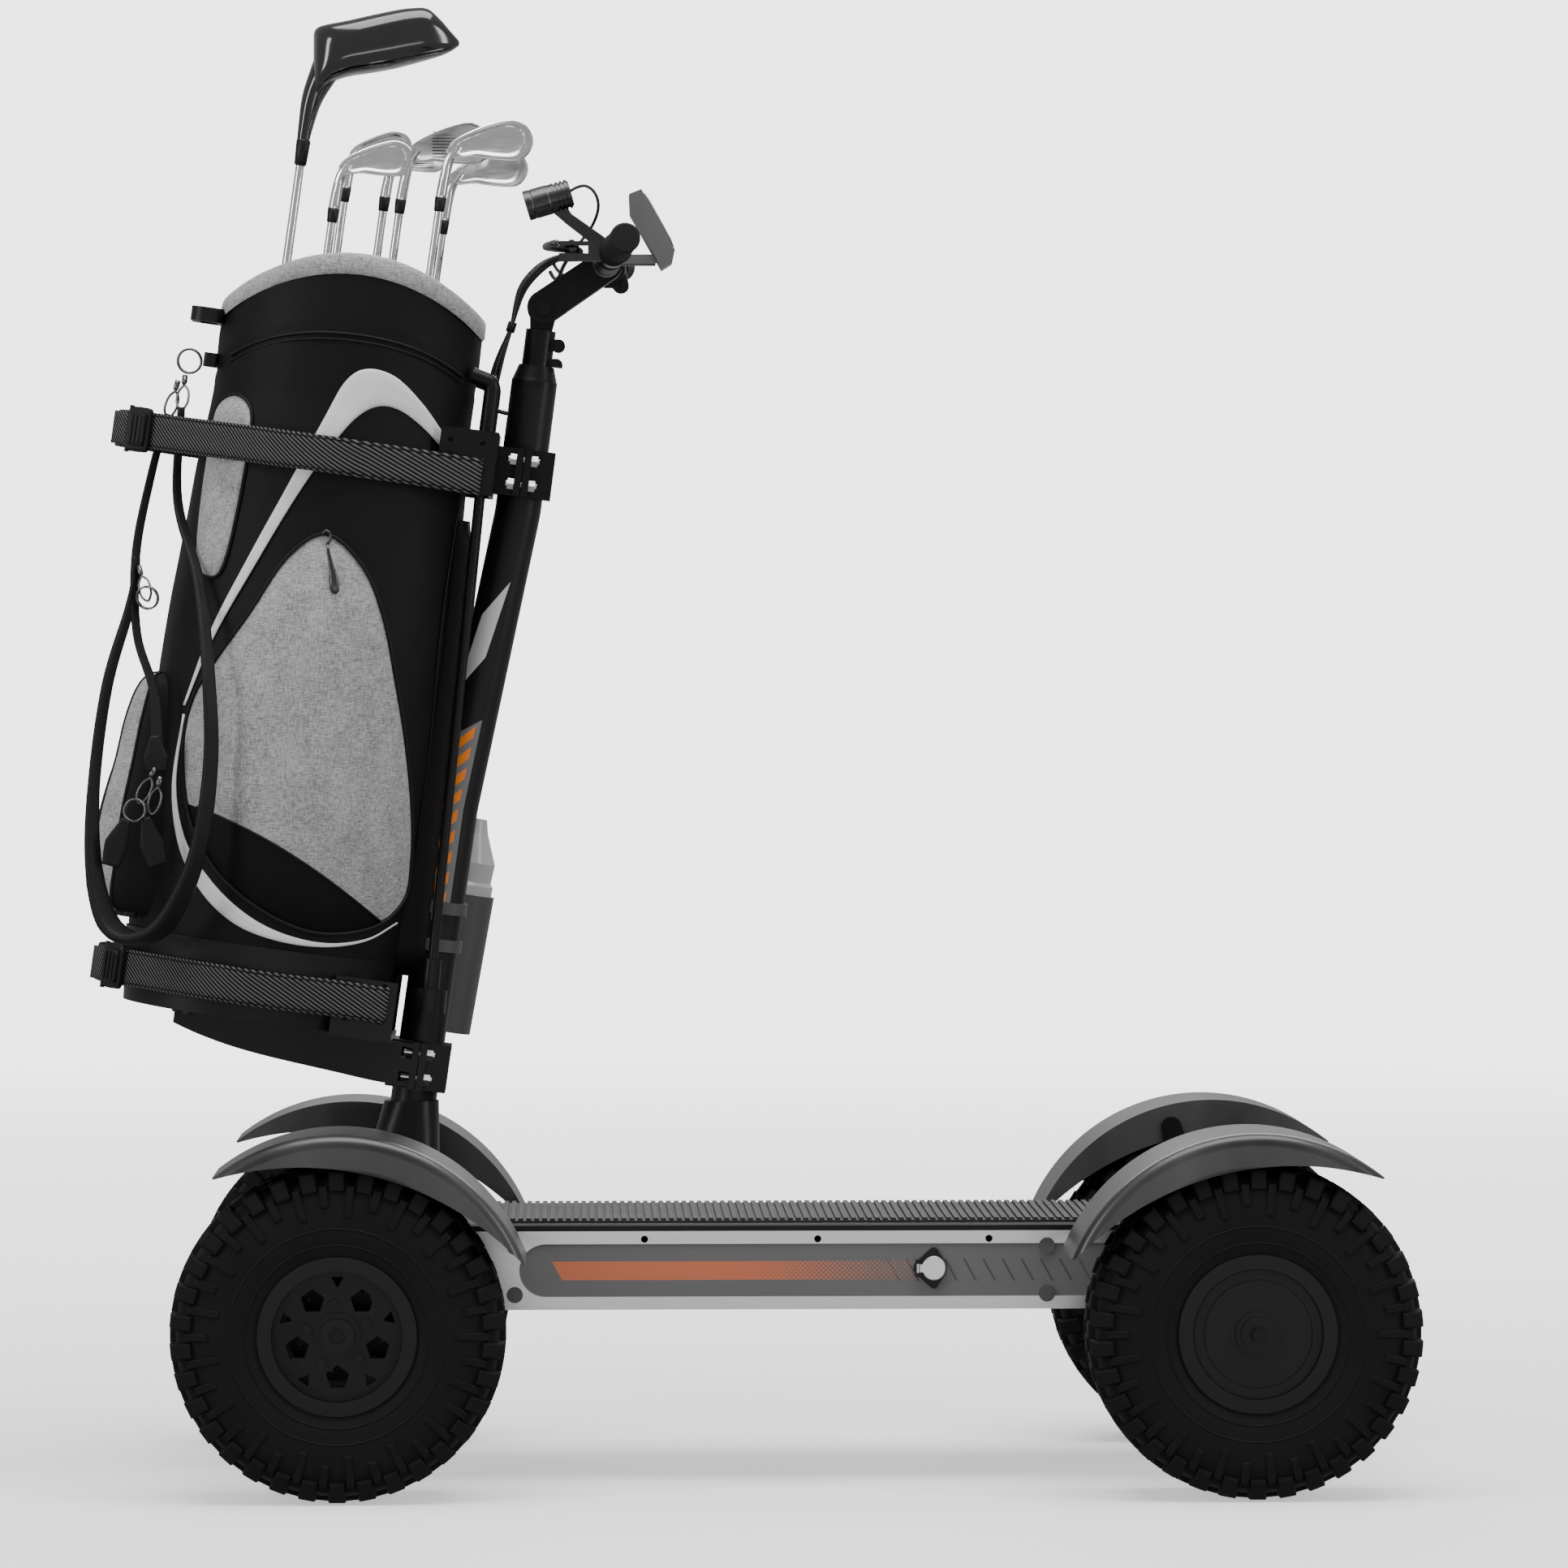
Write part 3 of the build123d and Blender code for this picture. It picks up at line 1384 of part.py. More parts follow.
# Each outline is the hull of a few circles: across, along and radius
side_pocket = ((6, 520, 28), (98, 262, 50), (92, 164, 52), (-66, 300, 52), (-20, 172, 62))
upper_pocket = ((-118, 520, 22), (-118, 662, 22))
front_pocket = ((118, -218.6, 130), (240, -208, 120), (362, -186, 60))
side_pocket_y = 150.0
upper_pocket_y = 98.0
with BuildPart() as bag_pockets:
    for side, circles, reach, low in (
        (1, side_pocket, side_pocket_y, 60),
        (-1, side_pocket, side_pocket_y, 60),
        (-1, upper_pocket, upper_pocket_y, 60),
    ):
        with BuildSketch(bag_side(side * low)):
            for v, u, r in circles:
                with Locations((v, u)):
                    Circle(r)
            make_hull()
        extrude(amount=-side * (reach - low))
    for u, front_v, wide in front_pocket:
        with BuildSketch(bag_plane(u)):
            with Locations((front_v / 2 - 60, 0)):
                RectangleRounded(-front_v - 120, wide, 16)
    loft()
    add(clearance.part, mode=Mode.SUBTRACT)
keep(bag_pockets, "bag_pockets")

with BuildPart() as bag_handle:
    with BuildSketch(bag_plane(772)):
        with Locations((-163, 0)):
            RectangleRounded(40, 84, 16)
        with Locations((-163, 0)):
            RectangleRounded(20, 62, 8, mode=Mode.SUBTRACT)
    extrude(amount=16)
    with BuildSketch(bag_plane(722)):
        with Locations((-154, -20)):
            RectangleRounded(16, 18, 4)
    extrude(amount=16)
    add(clearance.part, mode=Mode.SUBTRACT)
keep(bag_handle, "bag_handle")

# Shoulder straps: they hang from the ring on the small lug, pass inside the upper strap
# and fall in front of the bag on its left
strap_radius = 4.0
loop_points = [
    (-628.0, -46.0, 1205.0),
    (-632.0, -50.0, 1100.0),
    (-606.0, -108.0, 1010.0),
    (-592.0, -158.0, 900.0),
    (-590.0, -163.0, 800.0),
    (-606.0, -162.0, 700.0),
    (-640.0, -150.0, 628.0),
    (-675.0, -142.0, 610.0),
    (-706.0, -136.0, 628.0),
    (-722.0, -130.0, 690.0),
    (-722.0, -124.0, 780.0),
    (-708.0, -112.0, 890.0),
    (-682.0, -96.0, 975.0),
]
inner_points = [
    (-644.0, -34.0, 1198.0),
    (-662.0, -40.0, 1130.0),
    (-678.0, -66.0, 1040.0),
    (-676.0, -86.0, 950.0),
    (-655.0, -104.0, 880.0),
    (-652.0, -116.0, 800.0),
]
ring_centre = (-619.8, 1258.0)
ring_y = -22.0
with BuildPart() as shoulder_strap:
    for points in (loop_points, inner_points):
        round_tube(points, [0.9 * r for r in widest_radii(points)], strap_radius)
    # The ring on the lug, and the hook from the ring to the straps
    with BuildSketch(side_plane(ring_y + 2)):
        with Locations(ring_centre):
            Circle(15)
            Circle(12, mode=Mode.SUBTRACT)
    extrude(amount=4)
    round_tube([(-624, ring_y, 1246), (-626, -34, 1226), (-628, -46, 1202)], [20], 3.4)
    round_tube([(-626, -34, 1228), (-636, -34, 1212), (-644, -34, 1196)], [20], 3.4)
keep(shoulder_strap, "shoulder_strap")


def leg_route(side):
    top = [bag_point(*p) for p in ((141.0, side * leg_y, 753.9), (166, side * leg_y, 748))]
    down = [bag_point(167, side * leg_y, 650), bag_point(190, side * leg_y, 60)]
    return top + down


with BuildPart() as stand_legs:
    for _, side in SIDES:
        top, bend, knee, end = leg_route(side)
        sleeve_end = knee + (bend - knee) * 0.3
        round_tube([top, bend, sleeve_end], [9.5], leg_sleeve_radius)
        round_tube([sleeve_end, knee, end], [200], leg_radius)
        lean = (end - knee).normalized()
        for start, length, r in ((0, 34, 10.5), (34, 26, leg_foot_radius)):
            with BuildSketch(Plane(end + lean * (start - 34), z_dir=lean)):
                Circle(r)
            extrude(amount=length)
    add(clearance.part, mode=Mode.SUBTRACT)
keep(stand_legs, "stand_legs")

# ---- Clubs -------------------------------------------------------------------------------

butt_u = bag_wall + rest_gap
shaft_radius = 4.7
grip_end_radius = 11.5
club_grip_length = 260.0


def club_shaft(v, y, top_u):
    """Adds a shaft with its grip, parallel to the bag."""
    for u, r, length in (
        (butt_u, grip_end_radius, club_grip_length),
        (butt_u + club_grip_length, shaft_radius, top_u - butt_u - club_grip_length),
    ):
        with BuildSketch(bag_plane(u)) as rod:
            with Locations((v, y)):
                Circle(r)
        extrude(rod.sketch, amount=length)


def iron_head(v, y, top_u, outline, thickness):
    """Adds a hosel and a blade; the outline is drawn across and along from the hosel."""
    with BuildSketch(bag_plane(top_u - 8)) as hosel:
        with Locations((v, y)):
            Circle(6.5)
    extrude(hosel.sketch, amount=20)
    with BuildSketch(bag_side(y + thickness / 2)) as face:
        with Locations((v, top_u)):
            Polygon(*outline, align=None)
    extrude(face.sketch, amount=thickness)


blade = ((-5, 10), (6, 10), (16, 40), (62, 34), (86, 46), (92, 70), (78, 86), (10, 62))
low_blade = ((-5, 10), (6, 10), (14, 16), (76, 8), (84, 22), (78, 48), (60, 54), (4, 34))
irons = (
    (79.0, -60.0, 950.0, blade),
    (84.0, 26.0, 930.0, low_blade),
    (-38.0, -75.0, 920.0, low_blade),
    (-30.0, -20.0, 948.0, ((-5, 10), (6, 10), (12, 24), (50, 26), (56, 44), (46, 62), (4, 42))),
    (33.0, 4.0, 945.0, ((-5, 10), (6, 10), (18, 22), (62, 20), (76, 44), (60, 82), (-4, 70), (-8, 30))),
    (13.0, 52.0, 948.0, ((-5, 10), (6, 10), (20, -14), (50, -10), (58, 10), (46, 24), (4, 30))),
)
with BuildPart() as iron_clubs:
    for v, y, top_u, outline in irons:
        club_shaft(v, y, top_u)
        iron_head(v, y, top_u, outline, 10)
keep(iron_clubs, "iron_clubs")

driver_v, driver_y, driver_top = -84.0, -30.0, 985.0
driver_outline = (
    (-2, 20), (10, 22), (22, 82), (30, 92), (76, 88), (156, 90), (181, 104),
    (152, 150), (124, 156), (18, 148), (6, 140),
)
with BuildPart() as driver_club:
    club_shaft(driver_v, driver_y, driver_top)
    with BuildSketch(bag_plane(driver_top)):
        with Locations((driver_v, driver_y)):
            Circle(8)
    extrude(amount=26)
    with BuildSketch(bag_side(driver_y + 40)):
        with Locations((driver_v, driver_top)):
            Polygon(*driver_outline, align=None)
    extrude(amount=80)
keep(driver_club, "driver_club")

# ---- Bottle ------------------------------------------------------------------------------

bottle_up = Vector(sin(radians(bottle_lean)), 0, cos(radians(bottle_lean)))
bottle_origin = Vector(bottle_foot[0], bottle_y, bottle_foot[1])
cup_bore = bottle_radius + cup_gap


def bottle_plane(u):
    return across(bottle_origin + bottle_up * u, bottle_up)


# Two bands round the column, with arms that pass behind the stand leg
with BuildPart() as cup_bands:
    for z in (590.0, 632.0):
        with BuildSketch(across(on_lower_column(z), lower_dir)):
            Circle(column_radius + 4)
            with Locations((22, 40)):
                Rectangle(12, 80)
            Circle(column_radius, mode=Mode.SUBTRACT)
        extrude(amount=14)
    with BuildSketch(bottle_plane(-50)):
        Circle(cup_bore + cup_wall / 2)
    extrude(amount=400, mode=Mode.SUBTRACT)

with BuildPart() as bottle_holder:
    with BuildSketch(bottle_plane(0)):
        Circle(cup_bore + cup_wall)
    extrude(amount=cup_height)
    with BuildSketch(bottle_plane(cup_wall)):
        Circle(cup_bore)
    extrude(amount=cup_height, mode=Mode.SUBTRACT)
    add(cup_bands.part)
keep(bottle_holder, "bottle_holder")

with BuildPart() as water_bottle:
    with BuildSketch(Plane(bottle_origin, x_dir=(bottle_up.Z, 0, -bottle_up.X), z_dir=(0, -1, 0))):
        with BuildLine():
            Polyline(
                (0, cup_wall),
                (bottle_radius, cup_wall),
                (bottle_radius, bottle_height - 4),
                (bottle_radius - 3, bottle_height),
                (0, bottle_height),
                close=True,
            )
        make_face()
    revolve(axis=Axis(bottle_origin, bottle_up))
keep(water_bottle, "water_bottle")

with BuildPart() as bottle_cap:
    with BuildSketch(Plane(bottle_origin, x_dir=(bottle_up.Z, 0, -bottle_up.X), z_dir=(0, -1, 0))):
        with BuildLine():
            Polyline(
                (0, bottle_height),
                (bottle_radius - 3, bottle_height),
                (bottle_radius - 2, bottle_height + 22),
                (bottle_radius - 16, bottle_height + 56),
                (bottle_radius - 20, bottle_height + 72),
                (0, bottle_height + 72),
                close=True,
            )
        make_face()
    revolve(axis=Axis(bottle_origin, bottle_up))
keep(bottle_cap, "bottle_cap")
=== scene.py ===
# %% [markdown]
# # A stand-on golf scooter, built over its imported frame
# The frame is the measured model: every hard part is already in its place, in metres.
# This lesson gives those parts real finishes and builds the soft and fine parts that
# the frame only holds space for: knobbed tyres, a sewn golf bag, webbing and cables.

# %% Load the frame
from math import atan2, cos, hypot, pi, radians, sin, sqrt
import bpy
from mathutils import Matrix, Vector, noise


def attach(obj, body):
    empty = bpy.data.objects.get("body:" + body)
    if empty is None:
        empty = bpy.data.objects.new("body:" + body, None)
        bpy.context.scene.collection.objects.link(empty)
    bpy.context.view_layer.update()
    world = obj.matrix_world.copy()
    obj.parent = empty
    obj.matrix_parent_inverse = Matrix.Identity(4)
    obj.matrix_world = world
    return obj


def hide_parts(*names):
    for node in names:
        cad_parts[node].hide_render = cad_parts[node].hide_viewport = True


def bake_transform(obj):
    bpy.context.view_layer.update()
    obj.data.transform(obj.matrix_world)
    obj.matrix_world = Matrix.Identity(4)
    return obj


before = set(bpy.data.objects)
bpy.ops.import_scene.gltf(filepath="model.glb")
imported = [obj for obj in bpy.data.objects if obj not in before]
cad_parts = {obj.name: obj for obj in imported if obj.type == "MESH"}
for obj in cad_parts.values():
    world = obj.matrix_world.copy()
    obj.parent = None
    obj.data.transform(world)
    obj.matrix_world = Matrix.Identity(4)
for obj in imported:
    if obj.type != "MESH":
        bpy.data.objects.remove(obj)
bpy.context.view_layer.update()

# %% [markdown]
# ## Camera and studio
# A product this long is shot from far away with a long lens, so that it hardly narrows
# with depth. The camera stands square to the left side. The floor is a plain pale sheet,
# and big soft lamps draw long clean highlights on the rails and the fenders.

# %% Camera
def aim(thing, target):
    """Turns a lamp or the camera to face a point."""
    direction = Vector(target) - thing.location
    thing.rotation_euler = direction.to_track_quat("-Z", "Y").to_euler()


def add_camera(place, target, lens):
    data = bpy.data.cameras.new("camera")
    data.lens = lens
    data.sensor_width = 36
    data.clip_end = 60
    camera = bpy.data.objects.new("camera", data)
    bpy.context.scene.collection.objects.link(camera)
    camera.location = place
    aim(camera, target)
    bpy.context.scene.camera = camera
    return camera


camera = add_camera((-0.194, -7.976, 0.935), (0.0425, -0.360, 0.7856), 160.9)
print("camera at", tuple(camera.location))

# %% Lamps, sky and floor
def add_lamp(name, place, target, size, power):
    data = bpy.data.lights.new(name, "AREA")
    data.shape = "RECTANGLE"
    data.size, data.size_y = size
    data.energy = power
    lamp = bpy.data.objects.new(name, data)
    bpy.context.scene.collection.objects.link(lamp)
    lamp.location = place
    aim(lamp, target)
    return lamp


lamps = [
    add_lamp("top_soft", (0.2, -0.6, 4.0), (0.1, 0, 0.3), (3.6, 2.4), 175),
    add_lamp("left_strip", (-3.6, -2.2, 1.9), (-0.2, 0, 0.7), (0.7, 2.8), 66),
    add_lamp("right_strip", (3.8, -2.0, 1.8), (0.2, 0, 0.5), (0.7, 2.8), 56),
    add_lamp("front_low", (0.3, -3.4, 0.30), (0.2, 0, 0.25), (3.6, 0.35), 13),
    add_lamp("back_rim", (0.4, 3.4, 2.8), (0, 0, 0.7), (3.8, 1.2), 80),
]
world = bpy.data.worlds.new("studio")
bpy.context.scene.world = world
world.use_nodes = True
world.node_tree.nodes["Background"].inputs["Color"].default_value = (1, 1, 1, 1)
world.node_tree.nodes["Background"].inputs["Strength"].default_value = 0.42
print(len(lamps), "lamps")

# %% [markdown]
# ## Shader maths that reads as maths
# A finish is a small formula over the place on the object. Writing it with node calls
# hides the formula, so one class wraps a socket: adding two wrapped sockets adds a Math
# node, and one method makes any other node. Constants are worked out in Python.

# %% The socket class
class Flow:
    """A shader socket that can be used in sums, and can add any node to its tree."""

    def __init__(self, tree, socket=None):
        self.tree = tree
        self.socket = socket

    def node(self, kind, settings=None, values=None, out=0):
        made = self.tree.nodes.new("ShaderNode" + kind)
        for key, value in (settings or {}).items():
            if key == "stops":
                stops = made.color_ramp.elements
                stops.remove(stops[-1])
                stops[0].position, stops[0].color = value[0]
                for place, shade in value[1:]:
                    stops.new(place).color = shade
            else:
                setattr(made, key, value)
        for key, value in (values or {}).items():
            if isinstance(value, Flow):
                self.tree.links.new(value.socket, made.inputs[key])
            else:
                made.inputs[key].default_value = value
        return Flow(self.tree, made.outputs[out])

    def maths(self, operation, *others):
        return self.node("Math", {"operation": operation}, dict(enumerate((self, *others))))

    def __add__(self, other):
        return self.maths("ADD", other)

    __radd__ = __add__

    def __mul__(self, other):
        return self.maths("MULTIPLY", other)

    __rmul__ = __mul__

    def __sub__(self, other):
        return self.maths("SUBTRACT", other)

    def __rsub__(self, other):
        return self.node("Math", {"operation": "SUBTRACT"}, {0: other, 1: self})

    def __truediv__(self, other):
        return self.maths("DIVIDE", other)

    def __abs__(self):
        return self.maths("ABSOLUTE")


def over(value, edge, soft=0.0004):
    """1 where a value is over an edge, 0 under it, with a soft step between."""
    return value.node("MapRange", None, {0: value, 1: edge - soft, 2: edge + soft})


def between(value, low, high, soft=0.0004):
    return over(value, low, soft) * (1 - over(value, high, soft))


def part(place, axis):
    return place.node("SeparateXYZ", None, {0: place}, axis)


def stretched(place, scale):
    """The place with each axis scaled, so that a grain can run one way."""
    return place.node("VectorMath", {"operation": "MULTIPLY"}, {0: place, 1: scale})


def grain(place, scale, detail=2.0, rough=0.5):
    values = {"Vector": place, "Scale": scale, "Detail": detail, "Roughness": rough}
    return place.node("TexNoise", None, values)


def tint(mask, low, high):
    """A colour that goes from low to high with a mask."""
    return mask.node("Mix", {"data_type": "RGBA"}, {0: mask, 6: low, 7: high}, 2)


def grey(level, alpha=1.0):
    return (level, level, level * 1.01, alpha)


print("sockets can be added, scaled and subtracted")

# %% Start and close a finish
finishes = {}


def new_finish(name):
    """A new material, and the place on the object that its pattern follows."""
    material = bpy.data.materials.new(name)
    material.use_nodes = True
    finishes[name] = material
    return material, Flow(material.node_tree).node("TexCoord", None, None, "Object")


def close_finish(material, height=None, depth=0.0002, strength=0.6, **sockets):
    """Feeds the shader: links where a value changes over the surface, constants elsewhere."""
    nodes = material.node_tree.nodes
    shader = nodes["Principled BSDF"]
    for key, value in sockets.items():
        socket = shader.inputs[key.replace("_", " ").title().replace("Ior", "IOR")]
        if isinstance(value, Flow):
            material.node_tree.links.new(value.socket, socket)
        else:
            socket.default_value = value
    if height is not None:
        bump = height.node("Bump", None, {"Height": height, "Distance": depth, "Strength": strength})
        material.node_tree.links.new(bump.socket, shader.inputs["Normal"])
    return material


def simple_finish(name, dark, light, roughness, grain_size, depth, metallic=0.0, **more):
    """A finish with soft clouding, a fine grain and slightly uneven gloss."""
    material, place = new_finish(name)
    cloud = grain(place, 9.0, 3.0)
    fine = grain(place, 1 / grain_size, 2.0)
    shade = tint(cloud * 0.6 + fine * 0.4, dark, light)
    gloss = roughness - 0.09 + cloud * 0.18
    return close_finish(
        material, fine, depth, 0.5, base_color=shade, roughness=gloss, metallic=metallic, **more
    )


print("finishes start from", len(finishes))

# %% [markdown]
# ## Finishes of the hard parts
# Most of the frame is powder-coated steel: near black, satin, with a fine orange-peel
# texture. Moulded plastic has a coarser leather grain, and rubber is duller than both.
# Each gets its own grain size in metres, because scale is what tells them apart.

# %% Paint, plastic, rubber and bright metal
simple_finish("satin_paint", grey(0.003), grey(0.007), 0.36, 0.0012, 0.00006, specular_ior_level=0.20)
simple_finish("wheel_paint", grey(0.004), grey(0.009), 0.38, 0.0014, 0.00006, specular_ior_level=0.22)
simple_finish("moulded_plastic", grey(0.004), grey(0.010), 0.40, 0.0008, 0.00012, specular_ior_level=0.24)
simple_finish("grip_rubber", grey(0.006), grey(0.014), 0.60, 0.0006, 0.00020, specular_ior_level=0.2)
simple_finish("cable_skin", grey(0.008), grey(0.014), 0.38, 0.0010, 0.00003)
simple_finish("zinc", grey(0.52), grey(0.74), 0.30, 0.0009, 0.00004, metallic=1.0)
simple_finish("dark_steel", grey(0.05), grey(0.11), 0.32, 0.0009, 0.00004, metallic=1.0)
simple_finish("hook_steel", grey(0.09), grey(0.2), 0.26, 0.0009, 0.00003, metallic=1.0)
simple_finish(
    "driver_gloss", grey(0.003), grey(0.006), 0.16, 0.0008, 0.00001, coat_weight=0.8, coat_roughness=0.06)
simple_finish("cup_plastic", grey(0.035), grey(0.055), 0.45, 0.0015, 0.00008)
simple_finish("bottle_plastic", grey(0.30), grey(0.42), 0.34, 0.0015, 0.00004, coat_weight=0.25)
simple_finish("display_shell", grey(0.085), grey(0.12), 0.40, 0.0007, 0.00008)
simple_finish("lining", grey(0.006), grey(0.012), 0.85, 0.0010, 0.00020)
simple_finish("battery_shell", grey(0.03), grey(0.05), 0.5, 0.002, 0.0001)
print(len(finishes), "plain finishes")

# %% [markdown]
# ## Tyre rubber, glossy fenders and the ribbed mat
# Tyre rubber is matt, with a little dust where the sidewall bulges. The fenders are
# glossy grey mouldings: a clear coat over a dark base. Broad pale streaks are painted
# into that base as highlights, and the same streaks vary the gloss as polishing does. The
# mat is plain rubber, dulled where feet rub the ribs.

# %% Tyre, fender and mat
material, place = new_finish("tyre_rubber")
dust = grain(place, 14.0, 4.0)
pits = grain(place, 900.0, 2.0)
close_finish(
    material, pits + dust * 0.5, 0.00025, 0.5,
    base_color=tint(dust, grey(0.004), grey(0.010)),
    roughness=0.56 + dust * 0.16, specular_ior_level=0.14,
)

material, place = new_finish("fender_gloss")
polish_streak_and_highlight = grain(stretched(place, (7.0, 2.0, 3.0)), 1.4, 2.0)
speck = grain(place, 700.0, 2.0)
close_finish(
    material, speck, 0.00002, 0.4,
    # The pale streaks in the base colour are painted highlights; in the roughness they are polishing marks.
    base_color=tint(over(polish_streak_and_highlight, 0.5, 0.16), grey(0.006), grey(0.040)),
    roughness=0.30 + polish_streak_and_highlight * 0.16, coat_weight=0.2, coat_roughness=0.2, specular_ior_level=0.5,
)

material, place = new_finish("mat_rubber")
wear = grain(place, 16.0, 3.0)
close_finish(
    material, grain(place, 1100.0), 0.00015, 0.5,
    base_color=tint(wear, grey(0.010), grey(0.026)),
    roughness=0.52 + wear * 0.2, specular_ior_level=0.35,
)
print(len(finishes), "finishes")

# %% [markdown]
# ## Brushed rails with a printed stripe
# The rails are anodised extrusions. Their brushed grain runs along the deck, so the noise
# is squeezed along X. The sunk panel is painted grey, and a stripe is printed on it: solid
# at the front, then halftone dots that shrink to nothing, then thin slanted ticks. All of
# it is a formula of X and Z, sized in metres on the real panel.

# %% Rail
material, place = new_finish("rail_metal")
x, z = part(place, "X"), part(place, "Z")
outside = over(abs(part(place, "Y")), 0.1425, 0.0002)
brushed = grain(stretched(place, (6.0, 300.0, 300.0)), 6.0, 3.0)
front, rear, low, high = -0.247, 0.520, 0.2075, 0.2665
middle, half = (low + high) / 2, (high - low) / 2
# The panel's front end is a half round
dx = (front + half - x).maths("MAXIMUM", 0.0)
dz = z - middle
reach = (dx * dx + dz * dz).maths("SQRT")
panel = (1 - over(reach, half)) * over(rear - x, 0.0) * outside
# Halftone dots on a grid turned by 45 degrees
pitch = 0.0052
cell_a = ((x + z) / pitch).maths("FRACT") - 0.5
cell_b = ((x - z) / pitch).maths("FRACT") - 0.5
dot = (cell_a * cell_a + cell_b * cell_b).maths("SQRT")
size = (0.275 - x) * (0.80 / 0.36)
dots = over(size - dot, 0.0, 0.05)
slope = x + dz * 0.55
stripe = between(z, 0.2262, 0.2470) * over(slope, -0.205) * (1 - over(x, 0.270)) * dots
tick_line = ((slope + 1.0) / 0.0215).maths("FRACT")
ticks = between(tick_line, 0.44, 0.56, 0.02) * between(z, 0.2245, 0.2490) * between(x, 0.170, 0.400, 0.03)
grey_panel = tint(ticks, grey(0.135), grey(0.06))
paint = tint(stripe, grey_panel, (0.60, 0.165, 0.075, 1))
close_finish(
    material, brushed, 0.00004, 0.4,
    base_color=tint(panel, tint(brushed, grey(0.50), grey(0.72)), paint),
    roughness=0.30 + brushed * 0.12 + panel * 0.16,
    metallic=1 - panel * 0.9,
)
print("stripe from", -0.205, "to", 0.27, "m")

# %% [markdown]
# ## Column paint with two stickers
# The column is the same satin paint. Its left side carries a pale rhombus and, lower
# down, a grey strip with slanted orange blocks. The column leans and bends, so the
# strip's middle is a straight line of X over Z for each run.

# %% Column
material, place = new_finish("column_paint")
x, y, z = (part(place, axis) for axis in "XYZ")
cloud = grain(place, 9.0, 3.0)
left = over(0.004 - y, 0.0)
upper_off = x - (z * 0.2129 - 0.4806)
lower_off = x - (z * 0.1433 - 0.4283)
off_line = upper_off * over(z, 0.7516) + lower_off * (1 - over(z, 0.7516))
rhomb_height = between(z - off_line * 1.5, 0.925, 0.995)
rhomb = rhomb_height * between(off_line + (z - 0.96) * -0.12, -0.017, 0.003) * left
strip = between(z - off_line * 0.6, 0.630, 0.846) * between(off_line, -0.024, 0.010) * left
block = between(((z - off_line * 0.9) / 0.0235).maths("FRACT"), 0.25, 0.80, 0.03)
block = block * between(off_line, -0.020, 0.004) * strip
base = tint(cloud, grey(0.004), grey(0.009))
base = tint(strip, base, grey(0.16))
base = tint(rhomb, base, grey(0.55))
base = tint(block, base, (0.83, 0.21, 0.015, 1))
close_finish(
    material, grain(place, 900.0), 0.00005, 0.4,
    base_color=base, roughness=0.32 + cloud * 0.14, specular_ior_level=0.22,
)
print("column stickers done")

# %% [markdown]
# ## Cloth, webbing and leather
# The grey cloth is heathered: light and dark threads cross at random, which two
# stretched noises give. The black cloth is a coated nylon with a tiny weave. Webbing is a
# twill, so its ribs run slanted across the band, with a pale highlight painted along them.
# Leather has soft cells.

# %% Cloths
def threads(place, pitch):
    """Two sets of crossing threads, each uneven along its length."""
    level = grain(stretched(place, (0.12, 0.12, 1.0)), 1 / pitch, 2.0)
    upright = grain(stretched(place, (1.0, 1.0, 0.12)), 1 / pitch, 2.0)
    return level, upright


material, place = new_finish("grey_cloth")
level, upright = threads(place, 0.0009)
mottle = grain(place, 30.0, 3.0)
weave = level * 0.5 + upright * 0.5
heather = over(weave * 0.85 + mottle * 0.15, 0.5, 0.11)
close_finish(
    material, weave, 0.0004, 0.6,
    base_color=tint(heather, grey(0.17), grey(0.46)), roughness=0.88, sheen_weight=0.15,
)

# The side pockets' cloth: black below a curved line that is worked out along the bag
material, place = new_finish("pocket_cloth")
level, upright = threads(place, 0.0009)
mottle = grain(place, 30.0, 3.0)
weave = level * 0.5 + upright * 0.5
heather = over(weave * 0.85 + mottle * 0.15, 0.5, 0.11)
x, z = part(place, "X") + 0.545, part(place, "Z") - 0.515
share = (x * 0.99027 - z * 0.13917 + 0.11) / 0.25
lower_band = over(0.232 - share * 0.042 - share * share * 0.072 - (x * 0.13917 + z * 0.99027), 0.0)
close_finish(
    material, weave, 0.0004, 0.6,
    base_color=tint(lower_band, tint(heather, grey(0.17), grey(0.46)), grey(0.003)),
    roughness=0.88 - lower_band * 0.3, specular_ior_level=0.15,
)

material, place = new_finish("black_cloth")
level, upright = threads(place, 0.0006)
crease = grain(place, 12.0, 3.0)
close_finish(
    material, level + upright + crease * 2.0, 0.00022, 0.5,
    base_color=tint(crease, grey(0.003), grey(0.007)),
    roughness=0.48 + crease * 0.18, specular_ior_level=0.15,
)

material, place = new_finish("white_trim")
close_finish(
    material, grain(place, 1200.0), 0.0001, 0.4,
    base_color=tint(grain(place, 40.0), grey(0.62), grey(0.78)), roughness=0.52,
)

material, place = new_finish("webbing")
x, y, z = (part(place, axis) for axis in "XYZ")
ribs = ((x + abs(y) + z * 1.15) / 0.0058).maths("FRACT")
rib_and_highlight = abs(ribs - 0.5) * 2.0
fibre = grain(place, 1500.0, 2.0)
close_finish(
    material, rib_and_highlight + fibre * 0.3, 0.0007, 0.9,
    # Pale stripes painted along the twill ribs are highlights; the webbing itself is black.
    base_color=tint(over(rib_and_highlight * 0.85 + fibre * 0.15, 0.42, 0.22), grey(0.120), grey(0.003)),
    roughness=0.62 + rib_and_highlight * 0.2, specular_ior_level=0.15,
)

